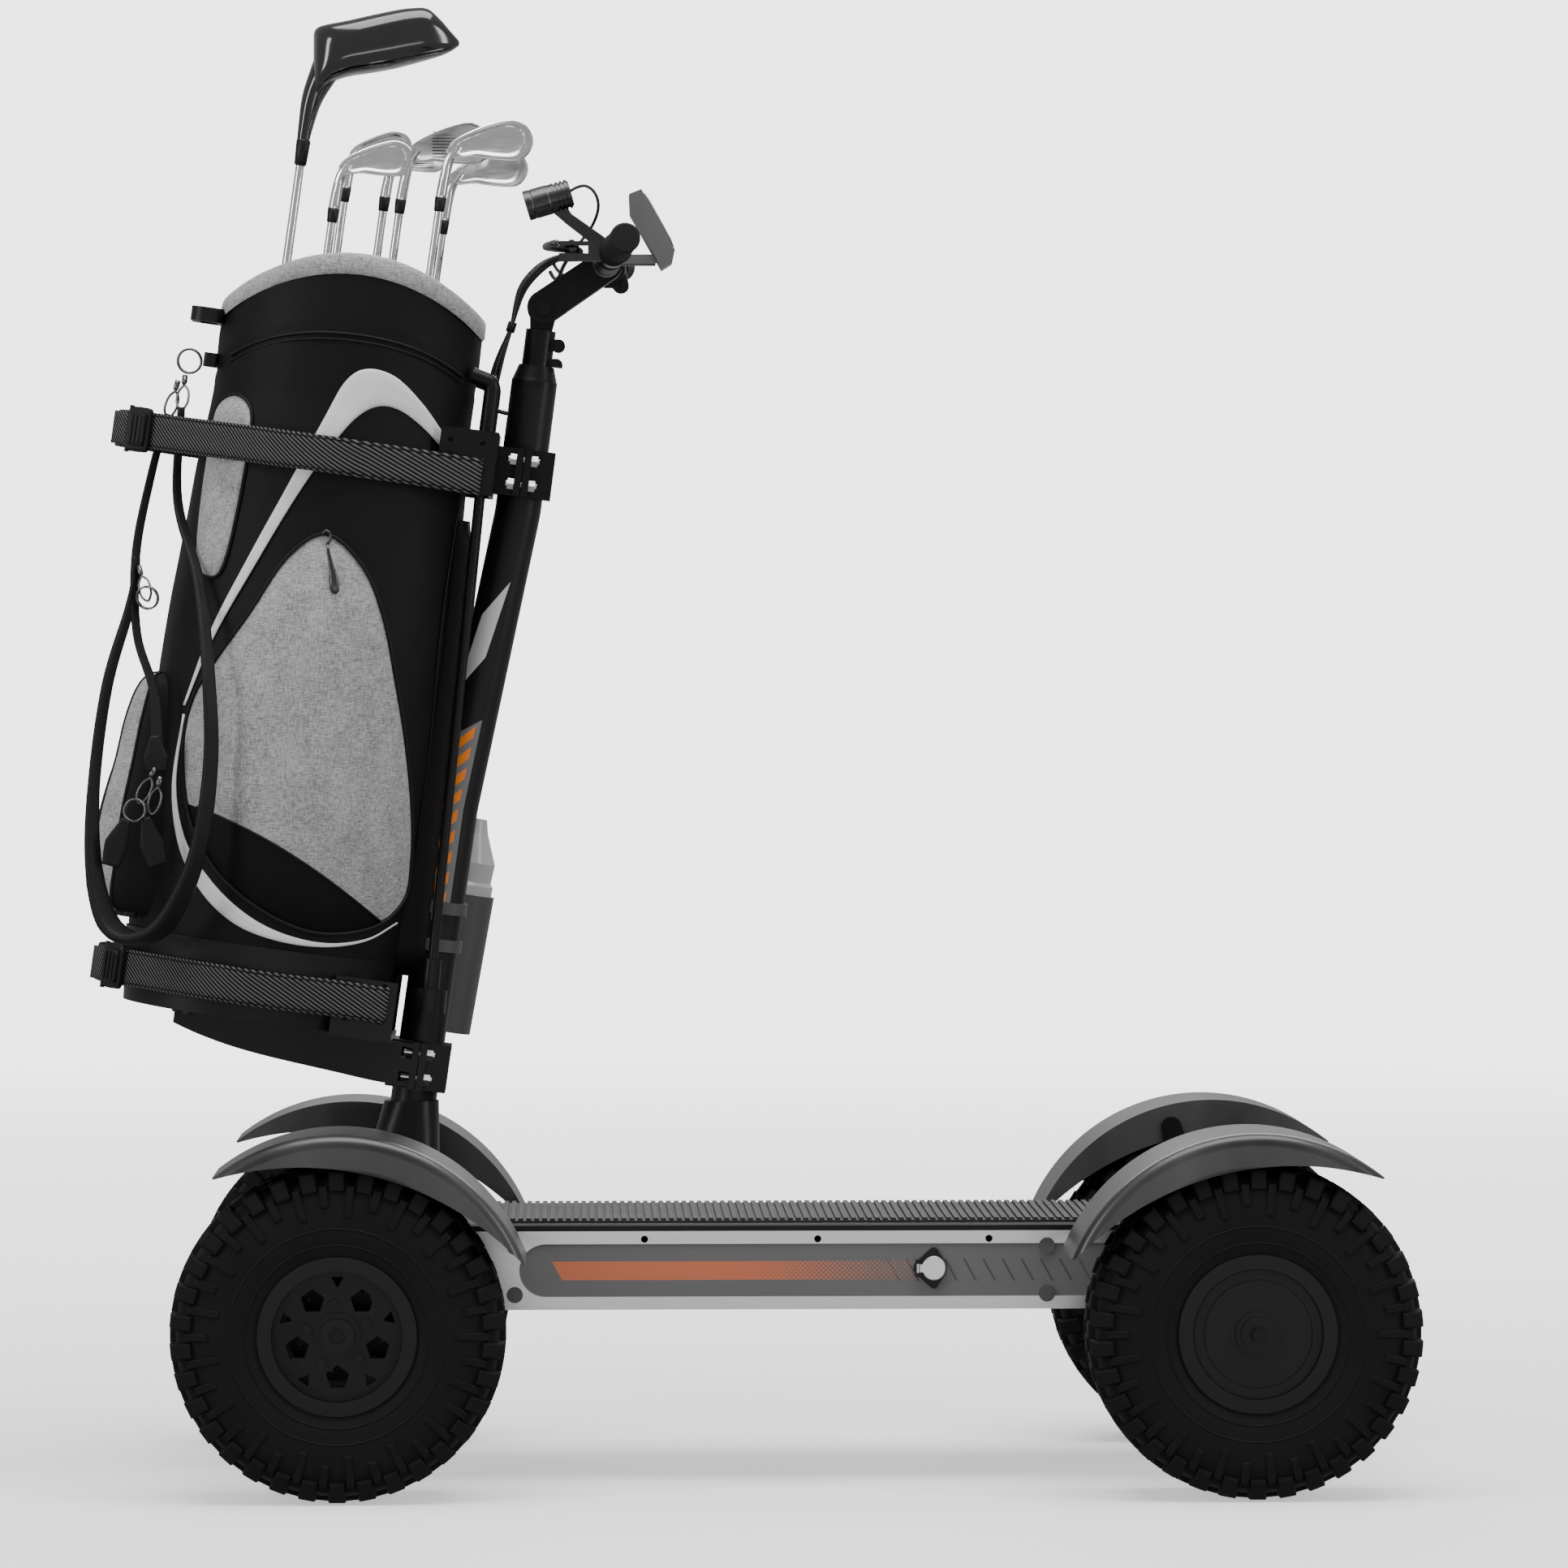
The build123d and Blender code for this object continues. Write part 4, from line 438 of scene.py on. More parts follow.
material, place = new_finish("leather")
cells = place.node("TexVoronoi", None, {"Vector": place, "Scale": 700.0}, "Distance")
close_finish(
    material, cells, 0.0003, 0.5,
    base_color=tint(cells, grey(0.004), grey(0.012)), roughness=0.44 + cells * 0.2, specular_ior_level=0.2,
)
print(len(finishes), "finishes with the cloths")

# %% [markdown]
# ## Chrome and lamps
# Iron heads are polished with a satin face. A soft cloud in the roughness keeps the
# chrome from looking like a perfect mirror. The lamp's lens and the display are dark
# glass over a faint pattern.

# %% Chrome, lens and screen
material, place = new_finish("chrome")
satin = grain(stretched(place, (1.0, 1.0, 5.0)), 60.0, 3.0)
close_finish(
    material, satin, 0.00002, 0.3,
    base_color=tint(satin, grey(0.68), grey(0.86)), roughness=0.10 + satin * 0.16, metallic=1.0,
)

material, place = new_finish("screen_glass")
close_finish(
    material, grain(place, 30.0), 0.00002, 0.2,
    base_color=tint(grain(place, 20.0), grey(0.006), grey(0.012)),
    roughness=0.09, coat_weight=1.0, coat_roughness=0.03,
)

material, place = new_finish("lens_glass")
rings = (place.node("TexVoronoi", None, {"Vector": place, "Scale": 260.0}, "Distance"))
close_finish(
    material, rings, 0.0006, 0.7,
    base_color=tint(rings, grey(0.55), grey(0.75)), roughness=0.10, metallic=0.6, coat_weight=1.0,
)
print(len(finishes), "finishes in all")

# %% [markdown]
# ## Finishes go on the frame's own parts
# Where the frame's shape is right, the part stays and only gets its finish. The list is
# by node name. Soft parts aren't on it, because sewn pieces replace them below.

# %% Give the CAD parts their finishes
finish_of = {
    "rail_metal": ["side_rails"],
    "column_paint": ["steering_column"],
    "satin_paint": [
        "deck_floor", "deck_top_plate", "front_axle_beam", "rear_axle_bracket", "knuckle_left",
        "knuckle_right", "track_rod", "steering_head", "headset", "steerer_tube", "stem_arm",
        "handlebar", "upper_bag_bracket", "lower_bag_shelf", "clamp_caps", "stand_legs",
    ],
    "mat_rubber": ["deck_mat"],
    "dark_steel": ["deck_screws", "lever_clamp", "brake_lever", "headlight_arm", "headlight"],
    "zinc": ["clamp_bolts", "motor_controller", "charge_cover"],
    "wheel_paint": ["front_rim_left", "front_rim_right", "hub_motor_left", "hub_motor_right"],
    "fender_gloss": ["front_fender_left", "front_fender_right", "rear_fender_left", "rear_fender_right"],
    "moulded_plastic": ["charge_port", "throttle_housing", "throttle_paddle", "bag_base", "bag_handle"],
    "display_shell": ["display_unit"],
    "grip_rubber": ["grips"],
    "battery_shell": ["battery_pack"],
    "driver_gloss": ["driver_club"],
    "chrome": ["iron_clubs"],
    "cup_plastic": ["bottle_holder"],
    "bottle_plastic": ["water_bottle", "bottle_cap"],
}
for finish_name, nodes in finish_of.items():
    for node_name in nodes:
        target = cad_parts[node_name]
        target.data.materials.clear()
        target.data.materials.append(finishes[finish_name])
print(sum(len(n) for n in finish_of.values()), "frame parts finished")

# %% Floor
floor_material, place = new_finish("floor_paper")
away = place.node("VectorMath", {"operation": "LENGTH"}, {0: place}, 1)
glow = over(away, 4.5, 3.5)
close_finish(
    floor_material, base_color=tint(grain(place, 2.0), grey(0.78), grey(0.80)), roughness=0.95,
    specular_ior_level=0.0, emission_color=tint(glow, grey(0.62), grey(3.2)), emission_strength=1.0,
)
# A round bowl of paper: flat under the object, then curving up into a wall all around
bowl = [(0.0004, 0.0), (4.0, 0.0), (10.0, 0.0)]
bowl += [(10.0 + 5.0 * sin(a), 5.0 - 5.0 * cos(a)) for a in [pi / 2 * k / 16 for k in range(1, 17)]]
bowl.append((15.0, 16.0))
around = 64
floor_mesh = bpy.data.meshes.new("floor")
floor_mesh.from_pydata(
    [(r * cos(2 * pi * k / around), r * sin(2 * pi * k / around), z) for r, z in bowl for k in range(around)],
    [],
    [(i + k, i + (k + 1) % around, i + around + (k + 1) % around, i + around + k)
     for i in range(0, around * (len(bowl) - 1), around) for k in range(around)],
)
floor_mesh.polygons.foreach_set("use_smooth", [True] * len(floor_mesh.polygons))
floor_mesh.materials.append(floor_material)
floor = bpy.data.objects.new("floor", floor_mesh)
bpy.context.scene.collection.objects.link(floor)
floor.visible_glossy = False
floor.visible_diffuse = False
print("floor", floor.dimensions[:])

# %% [markdown]
# ## Helpers for meshes made of rows
# Almost every soft part here is a grid: rows of points joined by quads. One helper turns
# rows into a mesh, another runs a section along a line, and a third adds up separate
# closed lumps, such as tread knobs, in one mesh.

# %% Mesh from points and faces
def new_piece(name, points, faces, body, finish, smooth=True, marks=None):
    """A mesh object in place, riding on a body. marks gives each face its finish's number."""
    mesh = bpy.data.meshes.new(name)
    mesh.from_pydata([tuple(p) for p in points], [], faces)
    for each in [finish] if isinstance(finish, str) else finish:
        mesh.materials.append(finishes[each])
    if marks:
        mesh.polygons.foreach_set("material_index", marks)
    mesh.polygons.foreach_set("use_smooth", [smooth] * len(mesh.polygons))
    mesh.validate()
    mesh.update()
    made = bpy.data.objects.new(name, mesh)
    bpy.context.scene.collection.objects.link(made)
    if body:
        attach(made, body)
    return made


def grid_faces(rows, columns, loop=False, first=0):
    """Quads between rows of points; loop closes each row."""
    faces = []
    for r in range(rows - 1):
        for c in range(columns if loop else columns - 1):
            d = (c + 1) % columns
            a = first + r * columns
            faces.append((a + c, a + d, a + columns + d, a + columns + c))
    return faces


def smooth_line(points, steps=8):
    """A flowing line through points, with steps between each two."""
    points = [Vector(p) for p in points]
    ends = [points[0] * 2 - points[1], *points, points[-1] * 2 - points[-2]]
    line = []
    for a, b, c, d in zip(ends, ends[1:], ends[2:], ends[3:]):
        for i in range(steps):
            t = i / steps
            line.append(
                0.5 * (2 * b + (c - a) * t + (2 * a - 5 * b + 4 * c - d) * t * t
                       + (3 * b - a - 3 * c + d) * t ** 3)
            )
    return [*line, points[-1]]


def frames_along(line, side):
    """At each point: the line's direction, and two directions across it."""
    made = []
    for i, point in enumerate(line):
        ahead = (line[min(i + 1, len(line) - 1)] - line[max(i - 1, 0)]).normalized()
        wide = Vector(side[i] if isinstance(side, list) else side)
        wide = (wide - ahead * wide.dot(ahead)).normalized()
        made.append((point, wide, ahead.cross(wide)))
    return made


def swept(line, section, side=(0, 0, 1), loop=False):
    """Points and faces of a section, a list of (wide, thick), run along a line."""
    points, count = [], len(section)
    for i, (point, wide, thick) in enumerate(frames_along(line, side)):
        shape = section[i] if isinstance(section[0][0], (list, tuple)) else section
        count = len(shape)
        points += [point + wide * a + thick * b for a, b in shape]
    faces = grid_faces(len(line), count, True)
    if loop:
        last = (len(line) - 1) * count
        faces += [(last + c, last + (c + 1) % count, (c + 1) % count, c) for c in range(count)]
    else:
        faces.append(tuple(range(count))[::-1])
        faces.append(tuple(range(len(points) - count, len(points))))
    return points, faces


def ring_section(radius, count=10):
    return [(radius * cos(2 * pi * i / count), radius * sin(2 * pi * i / count)) for i in range(count)]


def band_section(width, thickness):
    """A flat band with rounded edges."""
    w, t = width / 2, thickness / 2
    return [
        (-w + t * 0.6, -t), (-w * 0.5, -t), (0, -t), (w * 0.5, -t), (w - t * 0.6, -t), (w, -t * 0.5),
        (w, t * 0.5), (w - t * 0.6, t), (w * 0.5, t), (0, t), (-w * 0.5, t), (-w + t * 0.6, t),
        (-w, t * 0.5), (-w, -t * 0.5),
    ]


class Lumps:
    """Points and faces of many closed lumps that go into one mesh."""

    def __init__(self):
        self.points, self.faces = [], []

    def add(self, points, faces):
        first = len(self.points)
        self.points += [Vector(p) for p in points]
        self.faces += [tuple(first + i for i in face) for face in faces]

    def run(self, line, section, across=(0, 1, 0), capped=True):
        """Adds one section, a list of (wide, thick), run along a line."""
        self.tower([
            [p + w * a + t * b for a, b in section] for p, w, t in frames_along(line, across)
        ], capped=capped)

    def tower(self, rings, capped=True):
        """Rings of points stacked up, closed at both ends."""
        count = len(rings[0])
        faces = grid_faces(len(rings), count, True)
        if capped:
            faces.append(tuple(range(count))[::-1])
            faces.append(tuple(range((len(rings) - 1) * count, len(rings) * count)))
        self.add([p for ring in rings for p in ring], faces)


def turned(profile, centre, axis, count=48):
    """Rings of a profile, a list of (along, radius), turned round an axis."""
    axis = Vector(axis).normalized()
    across = axis.orthogonal().normalized()
    other = axis.cross(across)
    return [
        [Vector(centre) + axis * h + (across * cos(2 * pi * i / count) + other * sin(2 * pi * i / count)) * r
         for i in range(count)]
        for h, r in profile
    ]


print("mesh helpers ready")

# %% [markdown]
# ## Knobbed tyres
# An off-road tyre is a smooth carcass with rubber blocks moulded on it. The carcass is a
# turned section. Each tread pitch adds two staggered middle blocks, a shoulder block on
# each side that folds over onto the sidewall, and a raised bar on the sidewall that is
# long on every second pitch. A block's walls lean and its edges are cut back, so light
# catches them as it does on moulded rubber.

# %% One tyre
pitches = 34
carcass = [
    (0.0655, 0.0765), (0.0655, 0.0880), (0.0690, 0.0960), (0.0712, 0.1100), (0.0715, 0.1280),
    (0.0705, 0.1450), (0.0680, 0.1600), (0.0620, 0.1700), (0.0500, 0.1755), (0.0250, 0.1778),
]
carcass = carcass + [(0, 0.1782)] + [(-y, r) for y, r in reversed(carcass)]


def wheel_point(angle, y, r):
    return Vector((r * cos(angle), y, r * sin(angle)))


def tread_block(lumps, angle, span, outline):
    """A block over an angle; outline is its foot, its shoulder and its top, as (y, r) pairs."""
    rings = []
    for (low, high), squeeze in zip(outline, (1.0, 0.86, 0.72)):
        reach = span * squeeze / 2
        rings.append([
            wheel_point(angle - reach, *low), wheel_point(angle + reach, *low),
            wheel_point(angle + reach, *high), wheel_point(angle - reach, *high),
        ])
    lumps.tower(rings)


def tyre_lumps():
    lumps = Lumps()
    count = pitches * 4
    rings = [[wheel_point(2 * pi * i / count, y, r) for i in range(count)] for y, r in carcass]
    lumps.tower(rings, capped=False)
    pitch = 2 * pi / pitches
    for n in range(pitches):
        for side in (-1, 1):
            angle = n * pitch + (0.5 * pitch if side > 0 else 0)
            tread_block(lumps, angle, pitch * 0.66, [
                ((side * 0.003, 0.1775), (side * 0.032, 0.1768)),
                ((side * 0.004, 0.1828), (side * 0.031, 0.1822)),
                ((side * 0.006, 0.1840), (side * 0.029, 0.1836)),
            ])
            angle = (n + 0.5 * (side < 0)) * pitch
            tread_block(lumps, angle, pitch * 0.62, [
                ((side * 0.036, 0.1765), (side * 0.0690, 0.1600)),
                ((side * 0.037, 0.1822), (side * 0.0718, 0.1625)),
                ((side * 0.040, 0.1836), (side * 0.0705, 0.1690)),
            ])
            tread_block(lumps, angle, pitch * 0.60, [
                ((side * 0.0600, 0.1800), (side * 0.0690, 0.1590)),
                ((side * 0.0660, 0.1815), (side * 0.0722, 0.1600)),
                ((side * 0.0690, 0.1790), (side * 0.0724, 0.1630)),
            ])
            inner = 0.1290 if n % 2 else 0.1400
            tread_block(lumps, angle + pitch * 0.5, pitch * 0.34, [
                ((side * 0.0700, inner), (side * 0.0660, 0.1650)),
                ((side * 0.0728, inner + 0.002), (side * 0.0700, 0.1650)),
                ((side * 0.0731, inner + 0.004), (side * 0.0708, 0.1630)),
            ])
    # Fine moulded rings near the bead
    for side in (-1, 1):
        for r in (0.1000, 0.1180):
            ring = [(0.0690 if r < 0.11 else 0.0711, r - 0.0016), (0.0706 if r < 0.11 else 0.0722, r),
                    (0.0694 if r < 0.11 else 0.0712, r + 0.0016)]
            rings = [[wheel_point(2 * pi * i / 136, side * y, q) for i in range(136)] for y, q in ring]
            lumps.tower(rings, capped=False)
    return lumps


knobs = tyre_lumps()
print(len(knobs.faces), "faces in a tyre")

# %% Four tyres
axle_x = {"front": -0.444, "rear": 0.561}
axle_z, wheel_y = 0.184, 0.2875
sides = (("left", -1), ("right", 1))
for end, x in axle_x.items():
    for side_name, side in sides:
        middle = Vector((x, side * wheel_y, axle_z))
        node = f"{end}_tyre_{side_name}"
        tyre = new_piece(
            f"knobbed_{node}", [middle + p for p in knobs.points], knobs.faces,
            f"{end}_wheel_{side_name}", "tyre_rubber", smooth=False,
        )
        tyre.data.polygons.foreach_set(
            "use_smooth", [f < (len(carcass) - 1) * pitches * 4 for f in range(len(tyre.data.polygons))]
        )
        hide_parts(node)

# %% [markdown]
# ## The bag's own measures
# The bag leans with the carrier, so it is modelled in its own directions: v across, from
# the front to the column, y sideways, and u up along the bag. Its skin is an oval that
# swells a little at the pockets. One function gives the skin's distance from the middle,
# and every panel, trim and seam is laid on the skin with it.

# %% Bag frame
bag_foot = Vector((-0.545, 0, 0.515))
bag_up = Vector((sin(radians(8)), 0, cos(radians(8))))
bag_back = Vector((bag_up.z, 0, -bag_up.x))
bag_rings = [
    (0.084, -0.004, 0.157, 0.124), (0.250, -0.004, 0.163, 0.136), (0.430, -0.003, 0.163, 0.138),
    (0.600, -0.001, 0.156, 0.134), (0.700, 0.0, 0.148, 0.128), (0.760, -0.001, 0.149, 0.129),
    (0.890, 0.0, 0.142, 0.124),
]


def bag_at(v, y, u):
    return bag_foot + bag_back * v + Vector((0, y, 0)) + bag_up * u


def bag_oval(u):
    """Middle, half depth and half width of the skin at a height, eased between its rings."""
    u = min(max(u, bag_rings[0][0]), bag_rings[-1][0])
    for low, high in zip(bag_rings, bag_rings[1:]):
        if u <= high[0]:
            t = (u - low[0]) / (high[0] - low[0])
            t = t * t * (3 - 2 * t) * 0.35 + t * 0.65
            return [a + (b - a) * t for a, b in zip(low[1:], high[1:])]
    return bag_rings[-1][1:]


def skin_y(v, u, out=0.0):
    """How far the skin is from the middle plane at a place on the bag's side."""
    middle, deep, wide = bag_oval(u)
    share = min(abs((v - middle) / (deep + out)), 0.995)
    return (wide + out) * sqrt(1 - share * share)


def arch_top(v):
    """The mouth's arched edge, a circle through its front, its crown and its back."""
    (x0, y0), (x1, y1), (x2, y2) = (-0.158, 0.788), (0.002, 0.866), (0.158, 0.806)
    d = 2 * (x0 * (y1 - y2) + x1 * (y2 - y0) + x2 * (y0 - y1))
    cx = ((x0**2 + y0**2) * (y1 - y2) + (x1**2 + y1**2) * (y2 - y0) + (x2**2 + y2**2) * (y0 - y1)) / d
    cy = ((x0**2 + y0**2) * (x2 - x1) + (x1**2 + y1**2) * (x0 - x2) + (x2**2 + y2**2) * (x1 - x0)) / d
    radius = hypot(x0 - cx, y0 - cy)
    return cy + sqrt(max(radius**2 - (v - cx) ** 2, 0))


print("arch crown", round(arch_top(0.002), 3))

# %% [markdown]
# ## Bag skin
# A golf bag's shell is nylon over foam and thin rods, so it holds its oval but isn't
# perfect: long soft folds run down it and the cloth puckers at seams. The skin is a grid
# of 144 columns whose top row follows the arched mouth. Slow noise pushes it in and out
# by two millimetres, and the collar seam pinches it.

# %% Skin
def collar_seam(v):
    """The height of the seam under the collar, an arch like the mouth's."""
    return arch_top(v) - 0.083 - 0.006 * cos(v * 18)


def skin_point(angle, u, out=0.0):
    middle, deep, wide = bag_oval(u)
    place = bag_at(middle + (deep + out) * cos(angle), (wide + out) * sin(angle), u)
    away = (bag_back * cos(angle) * wide + Vector((0, sin(angle) * deep, 0))).normalized()
    return place, away


columns, rows = 144, 90
points = []
for r in range(rows):
    for c in range(columns):
        angle = 2 * pi * c / columns
        v = bag_oval(0.8)[0] + bag_oval(0.8)[1] * cos(angle)
        top = arch_top(v) - 0.016
        u = 0.074 + (top - 0.074) * r / (rows - 1)
        place, away = skin_point(angle, u)
        fold = noise.noise(Vector((cos(angle) * 2.2, sin(angle) * 2.2, u * 3.0))) * 0.0022
        pleat = noise.noise(Vector((angle * 5.0, u * 22.0, 3.0))) * 0.0005
        pinch = 0.0022 * max(0, 1 - abs(u - collar_seam(v)) / 0.006)
        foot = 0.0015 * max(0, 1 - (u - 0.074) / 0.02)
        points.append(place + away * (fold + pleat - pinch - foot - 0.001))
skin = new_piece("bag_skin", points, grid_faces(rows, columns, True), "chassis", "black_cloth")
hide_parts("bag_body")
print("skin", len(points), "points")

# %% [markdown]
# ## Mouth: rolled rim, lining and padded dividers
# The mouth is bound with a rolled grey band that stands a little outside the skin.
# Inside hangs a dark lining, and two padded bars part the clubs. The bars are rolls that
# sag slightly in the middle, as foam in cloth does.

# %% Rim, lining and dividers
rim_profile = [
    (0.0006, -0.022), (0.0026, -0.019), (0.0030, -0.010), (0.0028, -0.003), (0.0012, 0.0006),
    (-0.0030, 0.0022), (-0.0075, 0.0008), (-0.0098, -0.004), (-0.0104, -0.014), (-0.0100, -0.030),
]
points = []
for out, rise in rim_profile:
    for c in range(columns):
        angle = 2 * pi * c / columns
        v = bag_oval(0.8)[0] + bag_oval(0.8)[1] * cos(angle)
        u = arch_top(v) + rise
        place, away = skin_point(angle, u)
        soft = noise.noise(Vector((angle * 3, rise * 60, 1))) * 0.0007
        points.append(place + away * (out + soft))
rim = new_piece("bag_rim_roll", points, grid_faces(len(rim_profile), columns, True), "chassis", "grey_cloth")
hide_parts("bag_rim")

lining_profile = [(-0.0100, -0.026), (-0.0106, -0.060), (-0.0112, -0.16), (-0.0120, -0.32), (-0.0125, -0.50)]
points = []
for out, rise in lining_profile:
    for c in range(72):
        angle = 2 * pi * c / 72
        v = bag_oval(0.8)[0] + bag_oval(0.8)[1] * cos(angle)
        place, away = skin_point(angle, arch_top(v) + rise, 0)
        points.append(place + away * out)
lining = new_piece("bag_lining", points, grid_faces(len(lining_profile), 72, True), "chassis", "lining")

bars = Lumps()
for v in (-0.060, 0.056):
    half = skin_y(v, 0.815) - 0.011
    rings = []
    for i in range(17):
        t = i / 16 * 2 - 1
        sag = -0.003 * (1 - t * t)
        size = 0.0042 + 0.0006 * noise.noise(Vector((t * 4, v * 30, 0)))
        rings.append([
            bag_at(v + size * cos(a), t * half, 0.815 + sag + 0.0105 * sin(a))
            for a in [2 * pi * k / 12 for k in range(12)]
        ])
    bars.tower(rings)
dividers = new_piece("mouth_dividers", bars.points, bars.faces, "chassis", "grey_cloth")
print("rim, lining and dividers")

# %% [markdown]
# ## Panels and trims on the skin
# A pocket is a closed outline drawn on the bag's side. Rings shrink from the outline to
# its middle, and each ring stands prouder, so the pocket is crowned like stuffed cloth
# and tight at its sewn edge. Piping is a thin cord along the outline. A trim is a flat
# ribbon of changing width.

# %% Pocket, piping and ribbon makers
def closed_outline(corners, steps=8):
    """A flowing closed line through corners, as (v, u) pairs."""
    count = len(corners)
    line = []
    for i in range(count):
        a, b, c, d = (Vector((*corners[(i + k) % count], 0)) for k in (-1, 0, 1, 2))
        for s in range(steps):
            t = s / steps
            line.append(0.5 * (2 * b + (c - a) * t + (2 * a - 5 * b + 4 * c - d) * t * t
                               + (3 * b - a - 3 * c + d) * t ** 3))
    return [(p.x, p.y) for p in line]


def on_side(v, u, side, out):
    return bag_at(v, side * (skin_y(v, u) + out), u)


def pocket(name, corners, side, proud, cloth, fullness=0.55, rings=18, seed=0.0):
    """A stuffed pocket inside an outline on the bag's side."""
    line = closed_outline(corners)
    middle = (sum(p[0] for p in line) / len(line), sum(p[1] for p in line) / len(line))
    points, count = [], len(line)
    shares = [1 - (1 - i / (rings - 1)) ** 1.6 for i in range(rings)]
    for share in shares:
        for v, u in line:
            v2 = v + (middle[0] - v) * share
            u2 = u + (middle[1] - u) * share
            swell = proud * (1 - (1 - share) ** 4) ** fullness
            loose = noise.noise(Vector((v2 * 14 + seed, u2 * 9, side))) * 0.0022 * min(share * 4, 1)
            fine = noise.noise(Vector((v2 * 60 + seed, u2 * 38, side))) * 0.0006 * min(share * 6, 1)
            out = swell + loose + fine - 0.001 * (share == 0)
            points.append(on_side(v2, u2, side, out))
    faces = grid_faces(rings, count, True)
    faces.append(tuple(range((rings - 1) * count, rings * count)))
    if side > 0:
        faces = [f[::-1] for f in faces]
    made = new_piece(name, points, faces, "chassis", cloth)
    return made


def swell_at(corners, v, u, proud, fullness=0.55):
    """How proud a pocket stands at a place inside its outline."""
    line = closed_outline(corners)
    middle = (sum(p[0] for p in line) / len(line), sum(p[1] for p in line) / len(line))
    angle = atan2(u - middle[1], v - middle[0])

    def turn_off(place):
        return abs((atan2(place[1] - middle[1], place[0] - middle[0]) - angle + pi) % (2 * pi) - pi)

    rim = min(line, key=turn_off)
    far = hypot(rim[0] - middle[0], rim[1] - middle[1])
    share = max(0.0, 1 - hypot(u - middle[1], v - middle[0]) / far)
    return proud * (1 - (1 - share) ** 4) ** fullness


def cord_on_side(lumps, line, side, out, radius=0.0017, closed=False):
    """A piping cord laid on the skin."""
    route = [on_side(v, u, side, out) for v, u in line]
    if closed:
        route.append(route[0])
    lumps.run(route, ring_section(radius, 7))


def ribbon_on_side(lumps, edge_a, edge_b, side, out, thickness=0.0012):
    """A flat trim between two lines of the same number of places, lying on the skin."""
    rings = []
    for (v0, u0), (v1, u1) in zip(edge_a, edge_b):
        ring = []
        for t, rise in ((0, 0), (0.08, 1), (0.35, 1), (0.65, 1), (0.92, 1), (1, 0)):
            v, u = v0 + (v1 - v0) * t, u0 + (u1 - u0) * t
            ring.append(on_side(v, u, side, out + thickness * rise))
        for t in (1, 0.5, 0):
            v, u = v0 + (v1 - v0) * t, u0 + (u1 - u0) * t
            ring.append(on_side(v, u, side, out - 0.004))
        rings.append(ring)
    lumps.tower(rings)


def flowing(corners, steps=10):
    return [(p.x, p.y) for p in smooth_line([(v, u, 0) for v, u in corners], steps)]


print("panel makers ready")

# %% [markdown]
# ## Side pockets with their grey panels
# Each side has one tall pocket: a pointed arch of heathered cloth over a black lower
# band, edged with dark piping. A white trim curls under it. Both sides are the same.

# %% Side pockets
side_corners = [
    (0.006, 0.552), (0.052, 0.522), (0.082, 0.470), (0.105, 0.402), (0.125, 0.335), (0.141, 0.265),
    (0.149, 0.205), (0.147, 0.155), (0.118, 0.122), (0.060, 0.108), (0.000, 0.122), (-0.060, 0.158),
    (-0.102, 0.215), (-0.121, 0.290), (-0.119, 0.345), (-0.100, 0.392), (-0.068, 0.452), (-0.034, 0.520),
]


def band_height(v):
    """The curved top edge of the pocket's black lower band."""
    t = (v + 0.11) / 0.25
    return 0.232 - 0.042 * t - 0.072 * t * t


for side_name, side in sides:
    main = pocket(
        f"side_pocket_{side_name}", side_corners, side, 0.0125, "pocket_cloth", seed=side * 3.0,
    )
    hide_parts("bag_pockets")
    piping = Lumps()
    cord_on_side(piping, closed_outline(side_corners), side, 0.0015, 0.0022, closed=True)
    band_line = [(v / 1000, band_height(v / 1000)) for v in range(-96, 131, 6)]
    route = [on_side(v, u, side, swell_at(side_corners, v, u, 0.0125)) for v, u in band_line]
    piping.run(route, ring_section(0.0014, 7))
    edge = new_piece(f"pocket_piping_{side_name}", piping.points, piping.faces, "chassis", "leather")
print("side pockets")

# %% [markdown]
# ## White trims
# A white ribbon runs up the bag's front edge, over a pointed arch above the pocket and
# down its back. A second one curls under the pocket, thin at its ends and wide at its
# lowest bend.

# %% Trims
arch_outer = flowing([
    (-0.128, 0.340), (-0.108, 0.428), (-0.078, 0.512), (-0.044, 0.600), (-0.014, 0.680), (0.004, 0.724),
    (0.026, 0.741), (0.058, 0.737), (0.092, 0.712), (0.122, 0.680), (0.1475, 0.652),
])
arch_inner = flowing([
    (-0.125, 0.340), (-0.103, 0.420), (-0.070, 0.502), (-0.033, 0.588), (0.002, 0.656), (0.024, 0.688),
    (0.046, 0.702), (0.070, 0.700), (0.098, 0.684), (0.124, 0.662), (0.1475, 0.640),
])
under_outer = flowing([
    (-0.127, 0.330), (-0.128, 0.250), (-0.112, 0.186), (-0.082, 0.140), (-0.040, 0.108), (0.010, 0.094),
    (0.066, 0.093), (0.112, 0.105), (0.144, 0.128),
])
under_inner = flowing([
    (-0.124, 0.330), (-0.123, 0.252), (-0.104, 0.192), (-0.070, 0.152), (-0.030, 0.122), (0.014, 0.104),
    (0.066, 0.098), (0.112, 0.108), (0.143, 0.130),
])
